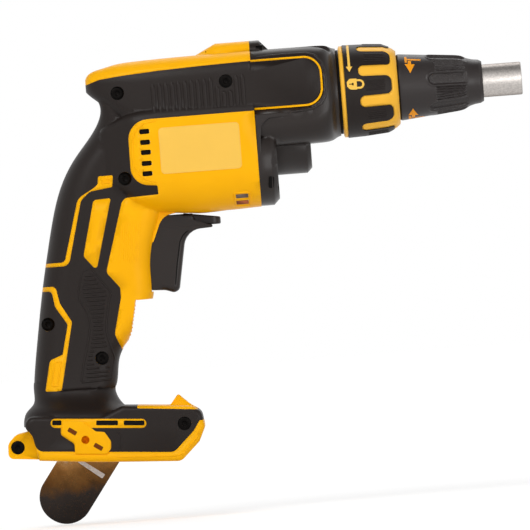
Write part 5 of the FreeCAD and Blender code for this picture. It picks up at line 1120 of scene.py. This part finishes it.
class SCREWDRIVER_OT_nose(bpy.types.Operator):
    """Dress the nose cone and the depth locator"""

    bl_idname = "screwdriver.nose"
    bl_label = "Nose"

    def execute(self, context):
        """Work out the cone with its channels and signs, and the turned locator with its rounded lips."""
        sizes = detail()
        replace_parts(self.cone(sizes), "nose_cone")
        locator = lathed("depth_sleeve", LOCATOR_WALL, ("locator", "locator", "bright_steel"), smooth=28.0)
        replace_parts(locator, "depth_locator")
        self.print_signs(sizes.print_rise)
        return {"FINISHED"}

    def cone(self, sizes):
        """The cone's profile carried round X, sunk where a channel or a fine groove runs.

        r = profile(x) - depth * step(distance to the nearest channel) + a low rim round that channel
        - groove * cosine rows between channels.
        """
        front = CONE_REAR + CONE_LENGTH
        outer = np.linspace(CONE_REAR, front, CONE_STEPS)
        along = outer[:, None]
        radius = cone_radius(outer)
        window = 2 * SOFT_STEPS + 1
        soft = np.convolve(np.pad(radius, SOFT_STEPS, mode="edge"), np.ones(window) / window, mode="valid")
        inside = np.abs(outer - CONE_REAR - CONE_LENGTH / 2) < CONE_LENGTH * CONE_SOFTENED
        radius = np.where(inside, soft, radius)
        angle = np.linspace(0, 2 * np.pi, CONE_TURNS, endpoint=False)
        pitch = 2 * np.pi / sizes.cone_channels
        around = ((angle - CHANNEL_TURN + pitch / 2) % pitch - pitch / 2)[None, :] * radius[:, None]
        reach = np.hypot(np.minimum(along - CHANNEL_REAR - CHANNEL_HALF, 0), around) - CHANNEL_HALF
        channel = np.clip(0.5 - reach / CHANNEL_EDGE, 0, 1)
        channel = channel * channel * (3 - 2 * channel)
        fade = np.clip((CHANNEL_FRONT - along) / CHANNEL_FADE, 0, 1)
        beside = np.abs(around) - CHANNEL_HALF - GROOVE_MARGIN
        rows = 0.5 - 0.5 * np.cos(2 * np.pi * beside / GROOVE_PITCH)
        ends = np.clip(np.minimum(along - GROOVE_REAR, GROOVE_FRONT - along) / GROOVE_FADE, 0, 1)
        groove = rows * (beside > 0) * ends
        rim = np.exp(-((reach - CHANNEL_RIM) / CHANNEL_RIM_WIDTH) ** 2)
        r = (radius[:, None] - sizes.channel_depth * channel * fade - sizes.groove_depth * groove * (1 - rim)
             + CHANNEL_RIM_RISE * rim * fade)
        shell = np.stack([along + 0 * r, -r * np.sin(angle), r * np.cos(angle)], axis=-1)
        inner = pairs([front, CONE_STEP, CONE_STEP, CONE_REAR],
                      [CONE_MOUTH, CONE_MOUTH, CONE_BORE, CONE_BORE])
        points = np.concatenate([shell, revolved(inner, CONE_TURNS)])
        piece = new_piece("nose_cone_body", points, grid_faces(len(points), CONE_TURNS, ring=True),
                          ("cone", "nose_cone", "black_nylon"), smooth=42.0)
        rough = np.zeros(points.shape[:2])
        rough[:len(outer)] = channel * (along < CHANNEL_FRONT - STIPPLE_MARGIN)
        marks = piece.data.attributes.new("stipple", "FLOAT", "POINT")
        marks.data.foreach_set("value", rough.ravel())
        return piece

    def print_signs(self, rise):
        """On the cone's rear, above and below: a screw along the axis and an arrow towards the middle."""
        signs = []
        for turn, way in zip(SIGN_TURNS, (1, -1)):
            base = turn * cone_radius(SIGN_X)
            head = pairs(SIGN_X - HEAD_BACK, base + HEAD_REACH * np.linspace(-1, 1, SCREW_HEAD_POINTS))
            x = np.linspace(*THREAD_RUN, THREAD_POINTS)
            tooth = np.abs(x / MM * THREADS_PER_MM % 1 - 0.5)
            signs += [arrow(SIGN_X, *(base + way * SIGN_RUN), *SIGN_ARROW), strip(head, SCREW_HALF),
                      strip(pairs(SIGN_X + x, base), SCREW_HALF + THREAD_DEPTH * tooth)]
        sign("cone_signs", signs, cone_radius, rise, ("ink", "nose_cone", "black_nylon"))


class SCREWDRIVER_OT_controls(bpy.types.Operator):
    """Dress the trigger, the reverse lever and the lock-on button"""

    bl_idname = "screwdriver.controls"
    bl_label = "Controls"

    def execute(self, context):
        """Round the controls, and add the trigger's cheeks, lines of painted shade and the throat's webs."""
        outline = even_path(rounded(TRIGGER_CORNERS), TRIGGER_POINTS, True)
        rounding = np.minimum(np.interp(outline[:, 0], TRIGGER_RUN, TRIGGER_ROUND),
                              TOP_ROUND + TOP_RATE * np.clip(TOP_LEVEL - outline[:, 1], 0, None))
        ends = (-TRIGGER_HALF, 0.0), (TRIGGER_HALF, 0.0)
        shoe = pillow("trigger_shoe", outline, *ends, rounding, "y", ON_TRIGGER)
        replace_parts(shoe, "trigger")
        for side, sign_of in SIDES:
            plate("trigger_cheek_" + side, rounded(TRIGGER_CHEEK), sign_of * CHEEK_SPAN, ON_TRIGGER)
            # A dark line of painted shade along the trigger's front rounding
            path_rib("trigger_edge_" + side, shoe, TRIGGER_EDGE, LIP_POINTS, TRIGGER_SHADE_LINE, sign_of,
                     ("hollow", "trigger", "black_nylon"))
            plate("throat_web_" + side, THROAT_WEB, sign_of * WEB_SPAN, ON_SHELL)
        smooth_copy("reverse_lever", "reverse_bar", "lever", LEVER_CREASE, LEVER_EDGE)
        ends = (LEVER_LOW, 0.0), (LEVER_HIGH, LEVER_SLOPE)
        pillow("reverse_bar_top", rounded(LEVER_CORNERS), *ends, LEVER_ROUND, "z",
               ("lever", "reverse_lever", "black_nylon"))
        smooth_copy("lock_on_button", "lock_button", "lever", LEVER_CREASE, BUTTON_EDGE)
        return {"FINISHED"}


class SCREWDRIVER_OT_foot(bpy.types.Operator):
    """Dress the foot: belt hook, lens, terminals, hook pad and slots"""

    bl_idname = "screwdriver.foot"
    bl_label = "Foot"

    def execute(self, context):
        """Round the hook and its neighbours, and lay in place the pad, the slots of painted shade
        and the hook's bright patch of painted highlight.
        """
        hook = smooth_copy("belt_hook", "hook_strip", edge=HOOK_EDGE)
        smooth_copy("lamp_lens", "lamp_window", edge=LENS_EDGE)
        smooth_copy("terminal_block", "terminal_body", "lever", edge=BLOCK_EDGE)
        smooth_copy("terminal_blades", "terminal_strips", edge=BLADE_EDGE)
        self.slots()
        self.pad()
        # A patch of bright steel on the hook: a painted highlight where the strip catches the light
        face = on_surface(hook, np.array([[HOOK_GLINT[0], -OUT_OF_REACH, HOOK_GLINT[1]]]), "y", 1)[0, 1]
        outline = even_path(tilted_box(HOOK_GLINT, GLINT, GLINT_TURN), GLINT_POINTS, True)
        pillow("hook_bead", outline, *((face + end, 0.0) for end in GLINT_ENDS), GLINT_ROUND, "y",
               ("locator", "housing", "worn_steel"))
        grip = bpy.data.objects["soft_grip_right"]
        path_rib("foot_recess", grip, FOOT_RECESS, LIP_POINTS, FOOT_LIP, -1, ON_GRIP)
        return {"FINISHED"}

    def slots(self):
        """Plates of painted shade where slots open: dark ones in the yellow frame along the foot's side,
        and two brown ones in the hook pad.
        """
        side, top = -FOOT_SIDE, -FOOT_SIDE - PAD_RISE
        for index, (x0, x1) in enumerate(FRAME_SLOTS):
            outline = foot_places(box_outline(x0, SLOT_LOW, x1, SLOT_HIGH, SLOT_RADIUS))
            plate("frame_slot_%d" % index, outline, (side - SLOT_RISE, side + SET_IN), IN_SHADE)
        for index, centre in enumerate(PAD_SLOTS):
            outline = foot_places(tilted_box(centre, PAD_SLOT, PAD_SLOT_TURN))
            plate("pad_slot_%d" % index, outline, (top - PAD_SLOT_RISE, top + SET_IN),
                  ("amber_shade", "housing", "yellow_nylon"))

    def pad(self):
        """The raised hook pad: its outline seen from its hole as r(angle), carried from the hole's rim out.

        Rows run up the hole's wall, over the flat top to a rounded rim and down to the foot's side.
        """
        outline = even_path(rounded(PAD_CORNERS), PAD_POINTS, True) - PAD_HOLE
        seen = np.arctan2(outline[:, 1], outline[:, 0])
        order = np.argsort(seen)
        angle = np.linspace(-np.pi, np.pi, PAD_TURNS, endpoint=False)
        edge = np.interp(angle, seen[order], np.hypot(*outline[order].T), period=2 * np.pi)
        hole = np.full_like(angle, PAD_HOLE_RADIUS)
        bend = np.linspace(0, np.pi / 2, PAD_RIM_STEPS)[:, None]
        radius = np.concatenate([[hole, hole], edge - PAD_RIM + PAD_RIM * np.sin(bend), [edge]])
        base, top = -FOOT_SIDE + SET_IN, -FOOT_SIDE - PAD_RISE
        y = np.concatenate([[base, top], (top + PAD_RIM - PAD_RIM * np.cos(bend))[:, 0], [base]])
        local = PAD_HOLE + radius[..., None] * np.stack([np.cos(angle), np.sin(angle)], axis=-1)
        flat = foot_places(local.reshape(-1, 2)).reshape(local.shape)
        points = np.stack([flat[..., 0], np.broadcast_to(y[:, None], radius.shape), flat[..., 1]], axis=-1)
        new_piece("hook_pad", points, grid_faces(*radius.shape, ring=True), ON_SHELL, smooth=35.0)


class SCREWDRIVER_OT_drive(bpy.types.Operator):
    """Give the inner pieces their finishes"""

    bl_idname = "screwdriver.drive"
    bl_label = "Inner pieces"

    def execute(self, context):
        """Paint every CAD node by its record slot, and make smooth copies of the two springs."""
        for name, node in NODES.items():
            material = FINISHES[MATERIAL_OF_SLOT[SLOT_OF[name]]]
            if not node.material_slots:
                node.data.materials.append(material)
            for slot in node.material_slots:
                slot.material = material
        self.coil("trigger_spring", "trigger_coil", "trigger_pull", 0)
        self.coil("clutch_spring", "clutch_coil", "spindle_press", 1)
        return {"FINISHED"}

    def coil(self, node, name, joint, end):
        """A smooth copy of a coil spring with its own mesh; its joint and end arguments are not used."""
        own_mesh(smooth_copy(node, name))


class SCREWDRIVER_OT_stage(bpy.types.Operator):
    """Set up the floor, the lights and the camera"""

    bl_idname = "screwdriver.stage"
    bl_label = "Stage"

    def execute(self, context):
        """Pale floor under the tool, an even sky, three soft lamps and a camera square to the side."""
        stage = context.scene.tool_stage
        self.floor(CAD_BOX[0][2] - FLOOR_GAP)
        self.sky(stage.sky)
        for name, (place, size, setting) in LAMPS.items():
            self.lamp(name, CENTRE + place, size, getattr(stage, setting))
        self.camera(stage)
        return {"FINISHED"}

    def seen(self, tree):
        """One where the ray comes from the camera, a mirror or a lens."""
        path = add_node(tree, "ShaderNodeLightPath")
        first = add_node(tree, "ShaderNodeMath", {"operation": "MAXIMUM"},
                         {0: path.outputs["Is Camera Ray"], 1: path.outputs["Is Glossy Ray"]})
        return add_node(tree, "ShaderNodeMath", {"operation": "MAXIMUM"},
                        {0: first.outputs[0], 1: path.outputs["Is Transmission Ray"]}).outputs[0]

    def floor(self, height):
        """A wide white sheet that takes the tool's shadow, and glows where it is seen far from the lamps."""
        mesh = bpy.data.meshes.new("floor")
        corners = [(x * FLOOR_HALF, y * FLOOR_HALF, height) for x, y in ((-1, -1), (1, -1), (1, 1), (-1, 1))]
        mesh.from_pydata(corners, [], [(0, 1, 2, 3)])
        material = bpy.data.materials.new("white paper sweep")
        material.use_nodes = True
        tree = material.node_tree
        tree.nodes.remove(tree.nodes["Principled BSDF"])
        paper = add_node(tree, "ShaderNodeBsdfDiffuse", {"Color": PAPER})
        pale = add_node(tree, "ShaderNodeBsdfDiffuse", {"Color": PALE})
        place = add_node(tree, "ShaderNodeTexCoord").outputs["Object"]
        away = add_node(tree, "ShaderNodeVectorMath", {"operation": "DISTANCE", 1: (GLOW_X, 0.0, height)},
                        {0: place})
        reach = add_node(tree, "ShaderNodeMapRange", GLOW, {"Value": away.outputs["Value"]})
        glow = add_node(tree, "ShaderNodeEmission", {"Color": WHITE}, {"Strength": reach.outputs["Result"]})
        lit = add_node(tree, "ShaderNodeAddShader", None, {0: pale.outputs[0], 1: glow.outputs[0]})
        either = add_node(tree, "ShaderNodeMixShader", None,
                          {"Fac": self.seen(tree), 1: paper.outputs[0], 2: lit.outputs[0]})
        tree.links.new(either.outputs[0], tree.nodes["Material Output"].inputs["Surface"])
        mesh.materials.append(material)
        add_object("floor", mesh)

    def sky(self, strength):
        """A sky that is full white where it is seen, darker overhead, and even where it lights."""
        world = bpy.data.worlds.new("white studio")
        world.use_nodes = True
        tree = world.node_tree
        tree.nodes.clear()
        way = add_node(tree, "ShaderNodeTexCoord").outputs["Generated"]
        height = add_node(tree, "ShaderNodeSeparateXYZ", None, {"Vector": way}).outputs["Z"]
        fall = add_node(tree, "ShaderNodeMapRange", OVERHEAD, {"Value": height})
        seen = add_node(tree, "ShaderNodeBackground", {"Color": WHITE}, {"Strength": fall.outputs["Result"]})
        light = add_node(tree, "ShaderNodeBackground", {"Color": WHITE, "Strength": strength})
        either = add_node(tree, "ShaderNodeMixShader", None,
                          {"Fac": self.seen(tree), 1: light.outputs[0], 2: seen.outputs[0]})
        add_node(tree, "ShaderNodeOutputWorld", None, {"Surface": either.outputs[0]})
        bpy.context.scene.world = world

    def lamp(self, name, place, size, power):
        """A square soft lamp that faces the centre."""
        data = bpy.data.lights.new(name, "AREA")
        data.size = size
        data.energy = power
        back = unit(place - CENTRE)
        side = unit(np.cross((0.0, 0.0, 1.0), back))
        self.turn(add_object(name, data), [side, np.cross(back, side), back, place])

    def turn(self, piece, columns):
        """Place an object by its three axes and its place."""
        frame_of = np.eye(4)
        frame_of[:3, :4] = np.column_stack(columns)
        piece.matrix_world = Matrix(frame_of.tolist())

    def camera(self, stage):
        """A camera that looks along +Y at the right side, rolled as in the photograph."""
        data = bpy.data.cameras.new("camera")
        data.sensor_fit = "HORIZONTAL"
        data.lens = data.sensor_width * stage.distance / stage.view_width
        data.clip_end = CLIP_END
        cosine, sine = math.cos(stage.roll), math.sin(stage.roll)
        piece = add_object("camera", data)
        self.turn(piece, [(cosine, 0, -sine), (sine, 0, cosine), (0, -1, 0), CENTRE - (0, stage.distance, 0)])
        bpy.context.scene.camera = piece
        bpy.context.scene.view_settings.view_transform = "Standard"


OPERATORS = (
    SCREWDRIVER_OT_drive, SCREWDRIVER_OT_housing, SCREWDRIVER_OT_case, SCREWDRIVER_OT_collar,
    SCREWDRIVER_OT_nose, SCREWDRIVER_OT_controls, SCREWDRIVER_OT_foot, SCREWDRIVER_OT_stage)


class SCREWDRIVER_PT_panel(bpy.types.Panel):
    """Lists the tool's pieces and their settings"""

    bl_idname = "SCREWDRIVER_PT_panel"
    bl_label = "Drywall screwdriver"
    bl_space_type = "VIEW_3D"
    bl_region_type = "UI"
    bl_category = "Screwdriver"

    def draw(self, context):
        """Draw the buttons and the settings."""
        for operator in OPERATORS:
            self.layout.operator(operator.bl_idname)
        for group in (context.scene.tool_finish, context.scene.tool_detail, context.scene.tool_stage):
            box = self.layout.box()
            for key in group.bl_rna.properties.keys()[2:]:
                box.prop(group, key)


CLASSES = (FinishSettings, DetailSettings, StageSettings) + OPERATORS + (SCREWDRIVER_PT_panel,)


def register():
    """Register the classes and hang the settings on the scene."""
    for cls in CLASSES:
        bpy.utils.register_class(cls)
    bpy.types.Scene.tool_finish = PointerProperty(type=FinishSettings)
    bpy.types.Scene.tool_detail = PointerProperty(type=DetailSettings)
    bpy.types.Scene.tool_stage = PointerProperty(type=StageSettings)


def unregister():
    """Take the settings off the scene and unregister the classes."""
    del bpy.types.Scene.tool_stage
    del bpy.types.Scene.tool_detail
    del bpy.types.Scene.tool_finish
    for cls in reversed(CLASSES):
        bpy.utils.unregister_class(cls)


def main():
    """Register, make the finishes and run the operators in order."""
    register()
    FINISHES.update(make_materials(bpy.context.scene.tool_finish))
    for operator in OPERATORS:
        group, name = operator.bl_idname.split(".")
        getattr(getattr(bpy.ops, group), name)()


if __name__ == "__main__":
    main()
